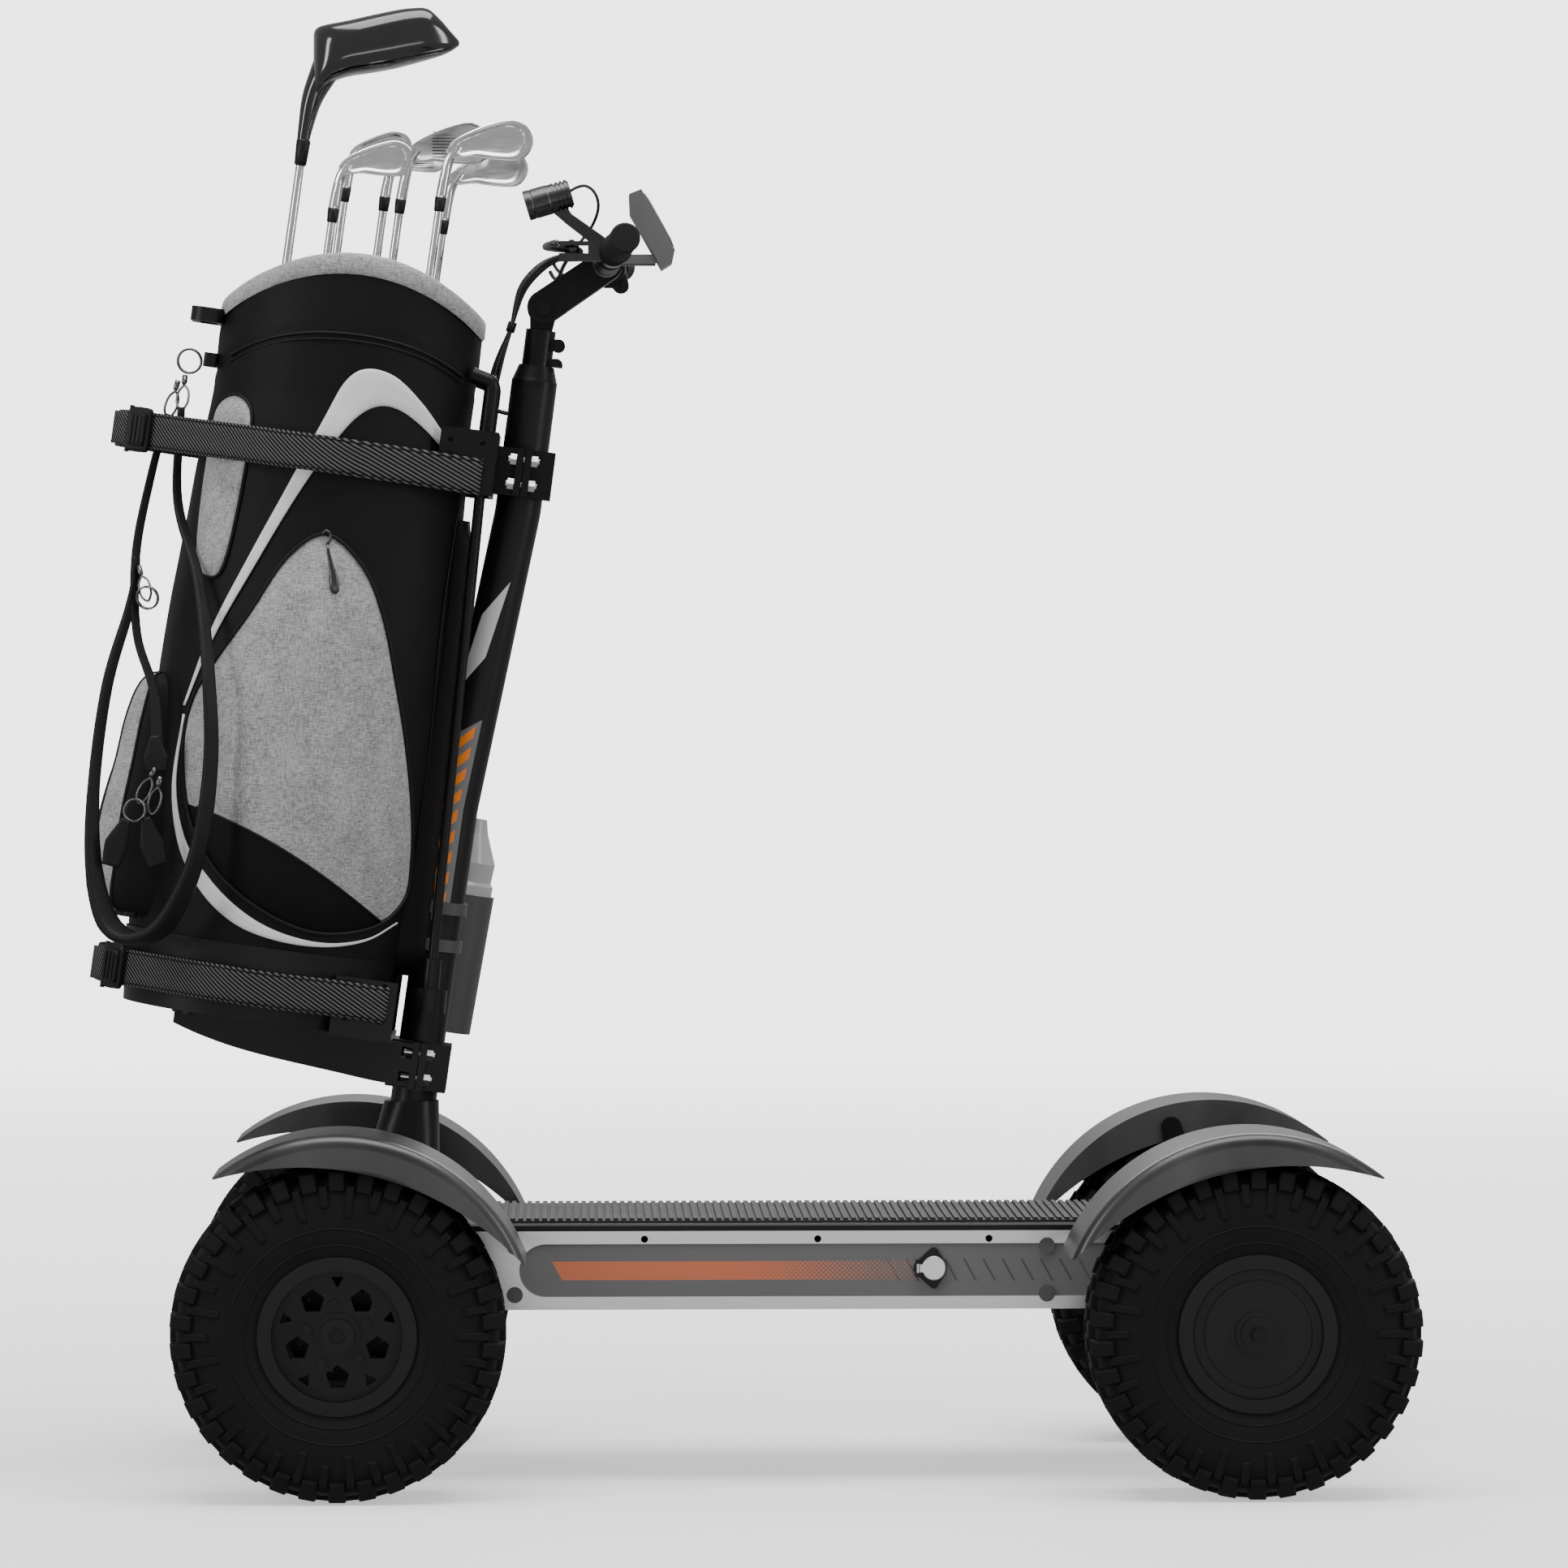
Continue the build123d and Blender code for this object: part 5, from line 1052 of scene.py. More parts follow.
for side_name, side in sides:
    ribbons = Lumps()
    ribbon_on_side(ribbons, arch_outer, arch_inner, side, 0.0006)
    ribbon_on_side(ribbons, under_outer, under_inner, side, 0.0006)
    trim = new_piece(f"white_trim_{side_name}", ribbons.points, ribbons.faces, "chassis", "white_trim")
    seams = Lumps()
    for drop in (0.0, 0.007):
        line = [(v / 100 * 1.45, collar_seam(v / 100 * 1.45) - drop) for v in range(-9, 10)]
        cord_on_side(seams, line, side, 0.0004, 0.0011 if drop else 0.0016)
    back_seam = flowing([(0.1475, 0.640), (0.146, 0.48), (0.152, 0.33), (0.153, 0.20)])
    cord_on_side(seams, back_seam, side, 0.0004, 0.0013)
    seam = new_piece(f"skin_seams_{side_name}", seams.points, seams.faces, "chassis", "leather")
print("trims and seams")

# %% [markdown]
# ## Front pockets
# Two pockets stand on the bag's front: a low one for balls, deep at the bottom, and a
# narrow one above on the left side. Each is built as rings round its own middle line, so
# it is a rounded bag of cloth whose edges carry grey panels and dark piping.

# %% Front pockets
def front_pocket_ring(u, reach, wide, out):
    """One ring of the low front pocket, a soft half oval on the skin."""
    ring = []
    for i in range(41):
        t = i / 40 * pi - pi / 2
        y = sin(t) * (wide / 2 + out)
        square = abs(cos(t)) ** 0.55
        inner = bag_oval(u)[0] - bag_oval(u)[1] * sqrt(1 - min(abs(y) / bag_oval(u)[2], 0.98) ** 2)
        soft = noise.noise(Vector((u * 16, y * 14, 5))) * 0.0035
        ring.append(bag_at(inner + 0.004 + (reach - out - inner + soft) * square, y, u))
    return ring


low_rows = [
    (0.098, -0.170, 0.120), (0.102, -0.198, 0.132), (0.112, -0.2130, 0.142), (0.135, -0.2180, 0.150),
    (0.180, -0.2165, 0.154), (0.240, -0.2090, 0.152), (0.290, -0.2020, 0.146), (0.330, -0.1950, 0.136),
    (0.355, -0.1880, 0.122), (0.368, -0.1780, 0.104), (0.372, -0.1660, 0.084),
]
rows_fine = smooth_line(low_rows, 5)
points = [p for u, reach, wide in rows_fine for p in front_pocket_ring(u, reach, wide, 0.0)]
faces = grid_faces(len(rows_fine), 41)
faces += [tuple(range(41))[::-1], tuple(range(len(points) - 41, len(points)))]
marks = []
for face in faces:
    column = sum(i % 41 for i in face) / len(face)
    marks.append(0 if 5 < column < 13 or 27 < column < 35 else 1)
low_pocket = new_piece(
    "front_pocket_low", points, faces, "chassis", ["grey_cloth", "black_cloth"], marks=marks)

piping = Lumps()
for column in (5, 13, 27, 35):
    line = [points[r * 41 + column] for r in range(len(rows_fine))]
    piping.run(line, ring_section(0.0018, 7))
hem = [p + bag_back * -0.001 for p in points[2 * 41 + 1:3 * 41 - 1]]
piping.run(hem, band_section(0.010, 0.003), tuple(bag_up))
edge = new_piece("front_pocket_piping", piping.points, piping.faces, "chassis", "leather")

upper_corners = [
    (-0.118, 0.694), (-0.098, 0.680), (-0.094, 0.640), (-0.097, 0.560), (-0.104, 0.500), (-0.118, 0.486),
    (-0.136, 0.500), (-0.142, 0.560), (-0.142, 0.640), (-0.138, 0.680),
]
upper_pocket = pocket("front_pocket_high", upper_corners, -1, 0.010, "grey_cloth", seed=9.0)
piping = Lumps()
cord_on_side(piping, closed_outline(upper_corners), -1, 0.0012, 0.0018, closed=True)
edge = new_piece("high_pocket_piping", piping.points, piping.faces, "chassis", "leather")
print("front pockets")

# %% [markdown]
# ## Zip pulls
# Each tall pocket opens at its tip. The pull is a small steel slider with a moulded drop
# hanging from it, flat against the cloth.

# %% Zip pulls
for side_name, side in sides:
    pull = Lumps()
    drop = [(0.010, 0.540, 0.0016), (0.012, 0.532, 0.0022), (0.0165, 0.520, 0.0030), (0.021, 0.508, 0.0044),
            (0.0235, 0.498, 0.0056), (0.0245, 0.491, 0.0050), (0.0250, 0.487, 0.0022)]
    rings = []
    for v, u, r in drop:
        centre = on_side(v, u, side, 0.0125)
        rings.append([
            centre + bag_back * (r * cos(a)) + Vector((0, side * r * 0.42 * sin(a), 0))
            for a in [2 * pi * k / 12 for k in range(12)]
        ])
    pull.tower(rings)
    slider = [(0.0015, 0.551), (0.006, 0.556), (0.011, 0.554), (0.012, 0.546), (0.009, 0.540)]
    pull.run([on_side(v, u, side, 0.006) for v, u in slider], ring_section(0.0016, 8))
    made = new_piece(f"zip_pull_{side_name}", pull.points, pull.faces, "chassis", "dark_steel")
print("zip pulls")

# %% [markdown]
# ## Carrier straps
# Two bands of 41 mm webbing hold the bag. Each leaves the plates at the column, hugs the
# bag and meets its buckle in front. Its path is the tight line round a few circles, the
# same way a real band pulls straight between bulges, found as a convex hull.

# %% Hull path of a band
def hull(points):
    """The tight line round points on a plane, anticlockwise."""
    points = sorted(set(points))

    def half(order):
        made = []
        for p in order:
            while len(made) > 1 and (
                (made[-1][0] - made[-2][0]) * (p[1] - made[-2][1])
                - (made[-1][1] - made[-2][1]) * (p[0] - made[-2][0])
            ) <= 0:
                made.pop()
            made.append(p)
        return made[:-1]

    return half(points) + half(points[::-1])


def band_path(front_v, front_r, belly_r, plate_v, plate_y, end_v):
    """The band's middle line from one plate, round the front, to the other plate."""
    circles = [(front_v + front_r, 0, front_r), (-0.022, 0, belly_r)]
    circles += [(plate_v, side * (plate_y - 0.008), 0.008) for side in (-1, 1)]
    dots = [
        (round(v + r * cos(2 * pi * k / 120), 6), round(y + r * sin(2 * pi * k / 120), 6))
        for v, y, r in circles for k in range(120)
    ]
    loop = [p for p in hull(dots) if p[0] < plate_v]
    left = sorted([p for p in loop if p[1] < 0], key=lambda p: -p[0])
    right = sorted([p for p in loop if p[1] >= 0], key=lambda p: p[0])
    line = [(end_v, -plate_y), *left, *right, (end_v, plate_y)]
    # Even steps, so that the webbing's quads are regular
    even, carry, step = [line[0]], 0.0, 0.006
    for a, b in zip(line, line[1:]):
        length = hypot(b[0] - a[0], b[1] - a[1])
        at = step - carry
        while at < length:
            even.append((a[0] + (b[0] - a[0]) * at / length, a[1] + (b[1] - a[1]) * at / length))
            at += step
        carry = (carry + length) % step
    return [*even, line[-1]]


band_thick, band_wide = 0.0026, 0.041
band_lines = {}
strap_specs = {
    "upper_strap": (0.640, (-0.250, 0.062, 0.150, 0.124, 0.0976, 0.168)),
    "lower_strap": (0.038, (-0.190, 0.090, 0.133, 0.090, 0.1106, 0.146)),
}
for name, (u, spec) in strap_specs.items():
    inset = list(spec)
    inset[1] -= band_thick / 2
    inset[2] -= band_thick / 2
    inset[0] += band_thick / 2
    inset[4] -= band_thick / 2
    path = band_path(*inset)
    line = []
    for i, (v, y) in enumerate(path):
        wave = 0.0010 * noise.noise(Vector((v * 12, y * 12, u * 7)))
        line.append(bag_at(v, y, u + wave))
    band_lines[name] = path
    points, faces = swept(line, band_section(band_wide, band_thick), tuple(bag_up))
    band = new_piece(f"{name}_band", points, faces, "chassis", "webbing")
    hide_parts(name)
    edges = Lumps()
    for shift in (-1, 1):
        route = [p + bag_up * shift * 0.0172 for p in line]
        edges.run(route, band_section(0.0022, 0.0032), tuple(bag_up))
    selvedge = new_piece(f"{name}_edges", edges.points, edges.faces, "chassis", "leather")
    print(name, "band length", round(sum((b - a).length for a, b in zip(line, line[1:])), 3), "m")

# %% [markdown]
# ## Cam buckles and strap tails
# The band closes with a moulded cam buckle on its left front corner: a frame, a lever
# that lies on it and a free tail of webbing that sticks out past it.

# %% Buckles
def rounded_plate(centre, wide, tall, thick, half_w, half_h, half_t, corner=0.3):
    """Rings of a pillow-edged plate; wide, tall and thick are its directions."""
    rings = []
    for depth, shrink in ((-1, 0.90), (-0.72, 1.0), (0.55, 1.0), (1, 0.86)):
        ring = []
        for k in range(20):
            a = 2 * pi * k / 20
            x = abs(cos(a)) ** corner * (1 if cos(a) > 0 else -1)
            y = abs(sin(a)) ** corner * (1 if sin(a) > 0 else -1)
            level = wide * x * half_w * shrink + tall * y * half_h * shrink
            ring.append(centre + level + thick * half_t * depth)
        rings.append(ring)
    return rings


def buckle(name, u, path, y):
    """A cam buckle lying on a band where its path comes nearest to a height across."""
    front = [k for k in range(4, len(path) - 4) if path[k][0] < -0.10]
    at = min(front, key=lambda k: abs(path[k][1] - y))
    (v0, y0), (v1, y1) = path[at + 3], path[at - 3]
    size = hypot(v1 - v0, y1 - y0)
    along = bag_back * ((v1 - v0) / size) + Vector((0, (y1 - y0) / size, 0))
    proud = bag_back * ((y1 - y0) / size) - Vector((0, (v1 - v0) / size, 0))
    spot = bag_at(*path[at], u)
    lumps = Lumps()
    lumps.tower(rounded_plate(spot + proud * 0.0045, along, bag_up, proud, 0.0165, 0.0255, 0.0042))
    lever_middle = spot + proud * 0.0105 + along * 0.002
    lumps.tower(rounded_plate(lever_middle, along, bag_up, proud, 0.0115, 0.0190, 0.0030))
    for k in (-1, 0, 1):
        rib_middle = spot + proud * 0.0138 + along * (0.002 + k * 0.0058)
        lumps.tower(rounded_plate(rib_middle, along, bag_up, proud, 0.0016, 0.0165, 0.0012))
    lumps.tower(turned(
        [(-0.0265, 0.0016), (-0.0262, 0.0028), (0.0262, 0.0028), (0.0265, 0.0016)],
        spot + proud * 0.006 - along * 0.0125, bag_up, 12))
    body = new_piece(name, lumps.points, lumps.faces, "chassis", "moulded_plastic", smooth=False)
    return spot, along, proud


for name, strap, y in (("upper_buckle", "upper_strap", -0.0520), ("lower_buckle", "lower_strap", -0.0640)):
    spot, along, proud = buckle(name, strap_specs[strap][0], band_lines[strap], y)
    line = smooth_line([
        spot + proud * 0.003 + along * 0.010, spot + proud * 0.0045 - along * 0.010,
        spot + proud * 0.004 - along * 0.026, spot + proud * 0.0005 - along * 0.040,
    ], 6)
    points, faces = swept(line, band_section(band_wide - 0.004, band_thick), tuple(bag_up))
    tail = new_piece(f"{name}_tail", points, faces, "chassis", "webbing")
print("buckles")

# %% [markdown]
# ## Shoulder strap
# The strap hangs from a ring on the bag's small lug, goes under the upper band and falls
# in a long loop at the front. Its lower half is a thick padded sleeve, and its upper half
# is plain cord-like webbing. A second, shorter strap hangs inside it and ends in a leather
# tab. Each is a band swept along a flowing line, its width and thickness changing.

# %% Straps along flowing lines
def soft_band(name, route, sizes, finish, side, body="chassis", steps=8):
    """A band along a route; sizes gives (width, thickness) at each of its points."""
    line = smooth_line(route, steps)
    section = []
    for i in range(len(line)):
        t = i / (len(line) - 1) * (len(sizes) - 1)
        k = min(int(t), len(sizes) - 2)
        (w0, t0), (w1, t1) = sizes[k], sizes[k + 1]
        section.append(band_section(w0 + (w1 - w0) * (t - k), t0 + (t1 - t0) * (t - k)))
    points, faces = swept(line, section, side)
    made = new_piece(name, points, faces, body, finish)
    return made, line


loop_route = [
    (-0.6280, -0.046, 1.205), (-0.6320, -0.050, 1.100), (-0.6060, -0.108, 1.010), (-0.5920, -0.158, 0.900),
    (-0.5900, -0.163, 0.800), (-0.6060, -0.162, 0.700), (-0.6400, -0.150, 0.628), (-0.6750, -0.142, 0.610),
    (-0.7060, -0.136, 0.628), (-0.7220, -0.130, 0.690), (-0.7220, -0.124, 0.780), (-0.7080, -0.112, 0.890),
    (-0.6860, -0.084, 0.972), (-0.6790, -0.074, 1.006), (-0.6775, -0.068, 1.036),
]
loop_sizes = [
    (0.010, 0.003), (0.012, 0.004), (0.014, 0.005), (0.017, 0.006), (0.019, 0.007), (0.022, 0.009),
    (0.030, 0.011), (0.034, 0.012), (0.030, 0.011), (0.021, 0.009), (0.015, 0.007), (0.014, 0.006),
    (0.012, 0.005), (0.011, 0.004), (0.010, 0.004),
]
shoulder, line = soft_band("shoulder_pad", loop_route, loop_sizes, "leather", (0.75, 0.66, 0))
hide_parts("shoulder_strap")
print("shoulder strap length", round(sum((b - a).length for a, b in zip(line, line[1:])), 3), "m")

inner_route = [
    (-0.6440, -0.034, 1.198), (-0.6620, -0.040, 1.130), (-0.6780, -0.066, 1.040), (-0.6760, -0.086, 0.950),
    (-0.6550, -0.104, 0.880), (-0.6520, -0.116, 0.800),
]
inner_sizes = [
    (0.009, 0.003), (0.010, 0.003), (0.011, 0.003), (0.011, 0.003), (0.012, 0.0035), (0.017, 0.004),
]
inner, line = soft_band("inner_strap", inner_route, inner_sizes, "leather", (0.8, 0.6, 0))
print("inner strap length", round(sum((b - a).length for a, b in zip(line, line[1:])), 3), "m")

# %% [markdown]
# ## Rings, hooks and leather tabs
# Split rings and snap hooks are bent steel wire. A ring is a section swept round a circle,
# and a hook is a flowing wire with a turned swivel. The tabs are stitched leather.

# %% Wire parts
metal = Lumps()


def wire(route, radius, steps=6):
    """A round wire bent along a flowing route."""
    metal.run(smooth_line(route, steps), ring_section(radius, 8), (0.1, 1, 0.2))


def split_ring(centre, radius, thick, normal):
    """A key ring of two turns of wire round a direction."""
    normal = Vector(normal).normalized()
    a = normal.orthogonal().normalized()
    b = normal.cross(a)
    for turn in (0, 1):
        line = [
            Vector(centre) + (a * cos(t) + b * sin(t)) * radius + normal * thick * (turn - 0.5) * 1.6
            for t in [2 * pi * k / 36 + turn for k in range(36)]
        ]
        line.append(line[0])
        metal.run(line, ring_section(thick * 0.62, 7), tuple(normal), capped=False)


def snap_hook(start, end):
    """A turned swivel at the start and a bent wire hook that points to the end."""
    start, end = Vector(start), Vector(end)
    ahead = (end - start).normalized()
    across = ahead.cross(Vector((0, 1, 0))).normalized()
    metal.tower(turned([(0, 0.0012), (0.001, 0.0032), (0.009, 0.0032), (0.012, 0.0022)], start, ahead, 12))
    shape = [
        (0.012, 0), (0.020, 0.006), (0.034, 0.0065), (0.044, 0.001), (0.036, -0.0055), (0.022, -0.005),
        (0.013, 0),
    ]
    wire([start + ahead * a + across * b for a, b in shape], 0.0014)


split_ring((-0.6198, -0.022, 1.258), 0.0135, 0.0022, (0.15, 1, 0.1))
snap_hook((-0.6245, -0.026, 1.242), (-0.6290, -0.046, 1.200))
snap_hook((-0.6320, -0.034, 1.236), (-0.6440, -0.036, 1.195))
split_ring((-0.6640, -0.0880, 0.990), 0.0125, 0.0020, (0.3, 1, 0.2))
split_ring((-0.6760, -0.128, 0.752), 0.0125, 0.0020, (0.3, 1, -0.2))
snap_hook((-0.6745, -0.0740, 1.026), (-0.6650, -0.0880, 0.990))
snap_hook((-0.6540, -0.121, 0.800), (-0.6760, -0.128, 0.752))
snap_hook((-0.6480, -0.121, 0.790), (-0.6600, -0.130, 0.740))
hardware = new_piece("strap_hardware", metal.points, metal.faces, "chassis", "hook_steel")

for name, route in (
    ("tab_front", [(-0.6850, -0.131, 0.742), (-0.6960, -0.133, 0.715), (-0.7030, -0.134, 0.690)]),
    ("tab_rear", [(-0.6640, -0.130, 0.744), (-0.6570, -0.132, 0.715), (-0.6500, -0.134, 0.690)]),
    ("tab_upper", [(-0.6545, -0.119, 0.835), (-0.6530, -0.121, 0.812), (-0.6525, -0.121, 0.796)]),
):
    soft_band(name, route, [(0.010, 0.004), (0.027, 0.005), (0.020, 0.0045)], "leather", (0.9, 0.2, 0.1))
print("rings, hooks and tabs")

# %% [markdown]
# ## Spine of the bag
# A stand bag has a stiff padded spine between its two legs. It closes the gap between
# the round body and the legs, and it carries the leg pivots.

# %% Bag spine
spine = Lumps()
rings = []
for k in range(41):
    u = 0.070 + 0.520 * k / 40
    back = 0.1845 - 0.0185 * (u - 0.070) / 0.580
    ends = min(1.0, k / 2, (40 - k) / 2)
    wide = 0.034 * (0.72 + 0.28 * ends)
    depth = (back - 0.120) * (0.86 + 0.14 * ends) + 0.0012 * sin(u * 160)
    ring = []
    for i in range(28):
        a = 2 * pi * i / 28
        across = abs(cos(a)) ** 0.5 * (1 if cos(a) >= 0 else -1)
        out = abs(sin(a)) ** 0.5 * (1 if sin(a) >= 0 else -1)
        ring.append(bag_at(0.120 + depth * 0.5 + depth * 0.5 * out, wide * across, u))
    rings.append(ring)
spine.tower(rings)
made = new_piece("bag_spine", spine.points, spine.faces, "chassis", "black_cloth")

# %% [markdown]
# ## Golf clubs
# Clubs stand grip down, so their heads show above the bag. A shaft is a tapered steel
# tube with small steps and a dark ferrule where the head begins. An iron's head is a
# blade: a forged outline, thick at the sole, with a hollow in its back. It is built as
# rings of one outline, shrunk and moved through the blade's thickness.

# %% Shaft and iron makers
def shaft_rings(top, low_u, radius_low, radius_high, v, y):
    """Rings of a stepped shaft from low in the bag up to the head."""
    rings = []
    for k in range(25):
        t = k / 24
        radius = radius_low + (radius_high - radius_low) * t
        for shift in (0.0, 0.96) if k < 24 else (0.0,):
            u = low_u + (top - low_u) * (k + shift) / 24
            centre = bag_at(v, y, u)
            rings.append([
                centre + bag_back * radius * cos(a) + Vector((0, radius * sin(a), 0))
                for a in [2 * pi * i / 14 for i in range(14)]
            ])
    return rings


iron_grip = [
    (0.012, 0.004), (0.014, 0.0125), (0.030, 0.0135), (0.120, 0.0122), (0.298, 0.0095), (0.300, 0.0064),
]
driver_grip = [
    (0.012, 0.004), (0.014, 0.013), (0.030, 0.014), (0.120, 0.0126), (0.298, 0.0100), (0.300, 0.0070),
]


def club_grip(v, y, profile):
    """Rings of a grip that stands on the bag's floor; its profile gives (height, radius)."""
    around = [2 * pi * i / 14 for i in range(14)]
    return [[bag_at(v + r * cos(a), y + r * sin(a), u) for a in around] for u, r in profile]


blade_corners = [
    (0.011, 0.040), (0.022, 0.040), (0.036, 0.0415), (0.060, 0.0385), (0.086, 0.0375), (0.098, 0.0450),
    (0.1035, 0.0580), (0.1010, 0.0720), (0.091, 0.0815), (0.076, 0.0845), (0.052, 0.0785), (0.030, 0.0695),
    (0.014, 0.0600), (0.006, 0.0490),
]


def iron_head(heads, dark, v, y, top, size, facing):
    """Adds one iron's blade and neck; facing 1 turns its hollow back to the left."""
    start = bag_at(v, y, top)
    line = closed_outline(blade_corners, 4)
    middle = (0.058, 0.061)
    layers = [
        (0.90, -0.0050), (0.965, -0.0058), (1.0, -0.0045), (1.0, 0.0028), (0.975, 0.0048),
        (0.915, 0.0052), (0.800, 0.0050), (0.770, 0.0030), (0.62, 0.0018),
    ]
    rings = []
    for shrink, depth in layers:
        ring = []
        for a, b in line:
            a2 = middle[0] + (a - middle[0]) * shrink
            b2 = middle[1] + (b - middle[1]) * shrink
            sole = 1.0 + 0.75 * max(0.0, (b2 - 0.058) / 0.03)
            loft = (b2 - 0.05) * 0.22
            ring.append(start + Vector((
                a2 * size, (depth * sole * -facing + loft * facing) * size, b2 * size)))
        rings.append(ring)
    heads.tower(rings)
    neck = smooth_line([
        start + Vector((-0.0005, 0, -0.004)), start + Vector((0.0045, 0, 0.022)) * size,
        start + Vector((0.0100, 0, 0.040)) * size, start + Vector((0.0200, 0, 0.054)) * size,
    ], 6)
    sizes = [0.0062 + 0.0014 * (i / (len(neck) - 1)) for i in range(len(neck))]
    heads.tower([
        [p + w * a + t * b * (1 - 0.35 * i / len(neck)) for a, b in ring_section(sizes[i], 14)]
        for i, (p, w, t) in enumerate(frames_along(neck, (0.2, 1, 0)))
    ])
    dark.tower(turned(
        [(-0.020, 0.0050), (-0.019, 0.0058), (-0.004, 0.0066), (-0.0035, 0.0058)], start, bag_up, 16))
    # Scored lines across the striking face
    if facing < 0:
        for k in range(9):
            b = 0.045 + k * 0.0036
            depth = -0.0062 - (b - 0.05) * 0.22
            row = [start + Vector((a, depth, b)) * size for a in (0.036, 0.060, 0.084)]
            dark.run(row, ring_section(0.00045, 5))


irons = [
    (0.079, -0.060, 0.950, 1.00, 1), (0.084, 0.026, 0.930, 0.92, 1), (-0.038, -0.075, 0.920, 0.86, 1),
    (-0.030, -0.020, 0.948, 0.72, 1), (0.033, 0.004, 0.945, 0.98, -1), (0.013, 0.052, 0.948, 0.66, -1),
]
heads, shafts, dark = Lumps(), Lumps(), Lumps()
for v, y, top, size, facing in irons:
    iron_head(heads, dark, v, y, top, size, facing)
    shafts.tower(shaft_rings(top - 0.004, 0.30, 0.0062, 0.0046, v, y))
    dark.tower(club_grip(v, y, iron_grip))
iron_heads = new_piece("iron_heads", heads.points, heads.faces, "clubs", "chrome")
bevel = iron_heads.modifiers.new("round_edges", "BEVEL")
bevel.width, bevel.segments, bevel.limit_method, bevel.angle_limit = 0.0007, 2, "ANGLE", radians(28)
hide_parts("iron_clubs")
iron_shafts = new_piece("iron_shafts", shafts.points, shafts.faces, "clubs", "chrome")
iron_dark = new_piece("iron_ferrules", dark.points, dark.faces, "clubs", "moulded_plastic")
print(len(irons), "irons,", len(heads.faces), "faces")

# %% [markdown]
# ## Driver
# The driver's head is a hollow pear of dark gloss. Stations along its length give the top,
# the bottom and the half thickness, and a rounded section is fitted to each, so its crown
# is full and its striking face is nearly flat.

# %% Driver head
stations = [
    (-0.4790, 1.6270, 1.5560, 0.0060), (-0.4770, 1.6320, 1.5540, 0.0150), (-0.4720, 1.6358, 1.5600, 0.0235),
    (-0.4600, 1.6388, 1.5720, 0.0315), (-0.4400, 1.6425, 1.5795, 0.0365), (-0.4150, 1.6482, 1.5835, 0.0390),
    (-0.3900, 1.6535, 1.5880, 0.0385), (-0.3700, 1.6565, 1.5930, 0.0355), (-0.3500, 1.6560, 1.5985, 0.0300),
    (-0.3350, 1.6440, 1.6030, 0.0225), (-0.3230, 1.6300, 1.6085, 0.0140), (-0.3145, 1.6200, 1.6145, 0.0045),
]
fine = smooth_line([(x, top, low) for x, top, low, half in stations], 4)
halves = smooth_line([(half, 0, 0) for x, top, low, half in stations], 4)
head = Lumps()
rings = []
for (x, top, low), half in zip(fine, halves):
    middle, tall = (top + low) / 2, (top - low) / 2
    ring = []
    for k in range(40):
        a = 2 * pi * k / 40
        power = 0.62
        c = abs(cos(a)) ** power * (1 if cos(a) >= 0 else -1)
        s = abs(sin(a)) ** 0.80 * (1 if sin(a) >= 0 else -1)
        ring.append(Vector((x, -0.030 + half.x * c, middle + tall * s)))
    rings.append(ring)
head.tower(rings)
neck = smooth_line([
    (-0.4925, -0.030, 1.497), (-0.4880, -0.030, 1.523), (-0.4800, -0.030, 1.556), (-0.4640, -0.030, 1.590),
], 7)
head.tower([
    [p + w * a + t * b for a, b in ring_section(0.0068 + 0.0105 * (i / (len(neck) - 1)) ** 1.6, 18)]
    for i, (p, w, t) in enumerate(frames_along(neck, (0, 1, 0)))
])
driver = new_piece("driver_head", head.points, head.faces, "clubs", "driver_gloss")
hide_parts("driver_club")
shaft = Lumps()
shaft.tower(shaft_rings(0.980, 0.30, 0.0068, 0.0048, -0.084, -0.030))
made = new_piece("driver_shaft", shaft.points, shaft.faces, "clubs", "chrome")
trims = Lumps()
trims.tower(turned([(-0.024, 0.0052), (-0.022, 0.0070), (0.004, 0.0082), (0.006, 0.0070)],
                   bag_at(-0.084, -0.030, 0.985), bag_up, 20))
trims.tower(club_grip(-0.084, -0.030, driver_grip))
made = new_piece("driver_trims", trims.points, trims.faces, "clubs", "moulded_plastic")
print("driver,", len(head.faces), "faces")

# %% [markdown]
# ## Cables from the bar into the column
# A steering column has cables that must bend when the bar turns or tilts. Three of them
# leave the column, run up in front of the neck and join the bar. Each is made in two
# lengths that meet at a clip; the two lengths ride on no body.
# A cable's line is a NURBS spline through few control points, which is how a springy
# cable bends, and the tube is built along the points that the spline gives.

# %% Cable maker
def spline_line(points):
    """The points of a smooth NURBS line controlled by a few points."""
    data = bpy.data.curves.new("route", "CURVE")
    data.dimensions = "3D"
    data.resolution_u = 10
    spline = data.splines.new("NURBS")
    spline.points.add(len(points) - 1)
    for target, p in zip(spline.points, points):
        target.co = (*p, 1)
    spline.order_u = 3
    spline.use_endpoint_u = True
    holder = bpy.data.objects.new("route", data)
    bpy.context.scene.collection.objects.link(holder)
    bpy.context.view_layer.update()
    mesh = bpy.data.meshes.new_from_object(holder.evaluated_get(bpy.context.evaluated_depsgraph_get()))
    line = [v.co.copy() for v in mesh.vertices]
    bpy.data.objects.remove(holder)
    bpy.data.curves.remove(data)
    bpy.data.meshes.remove(mesh)
    return line


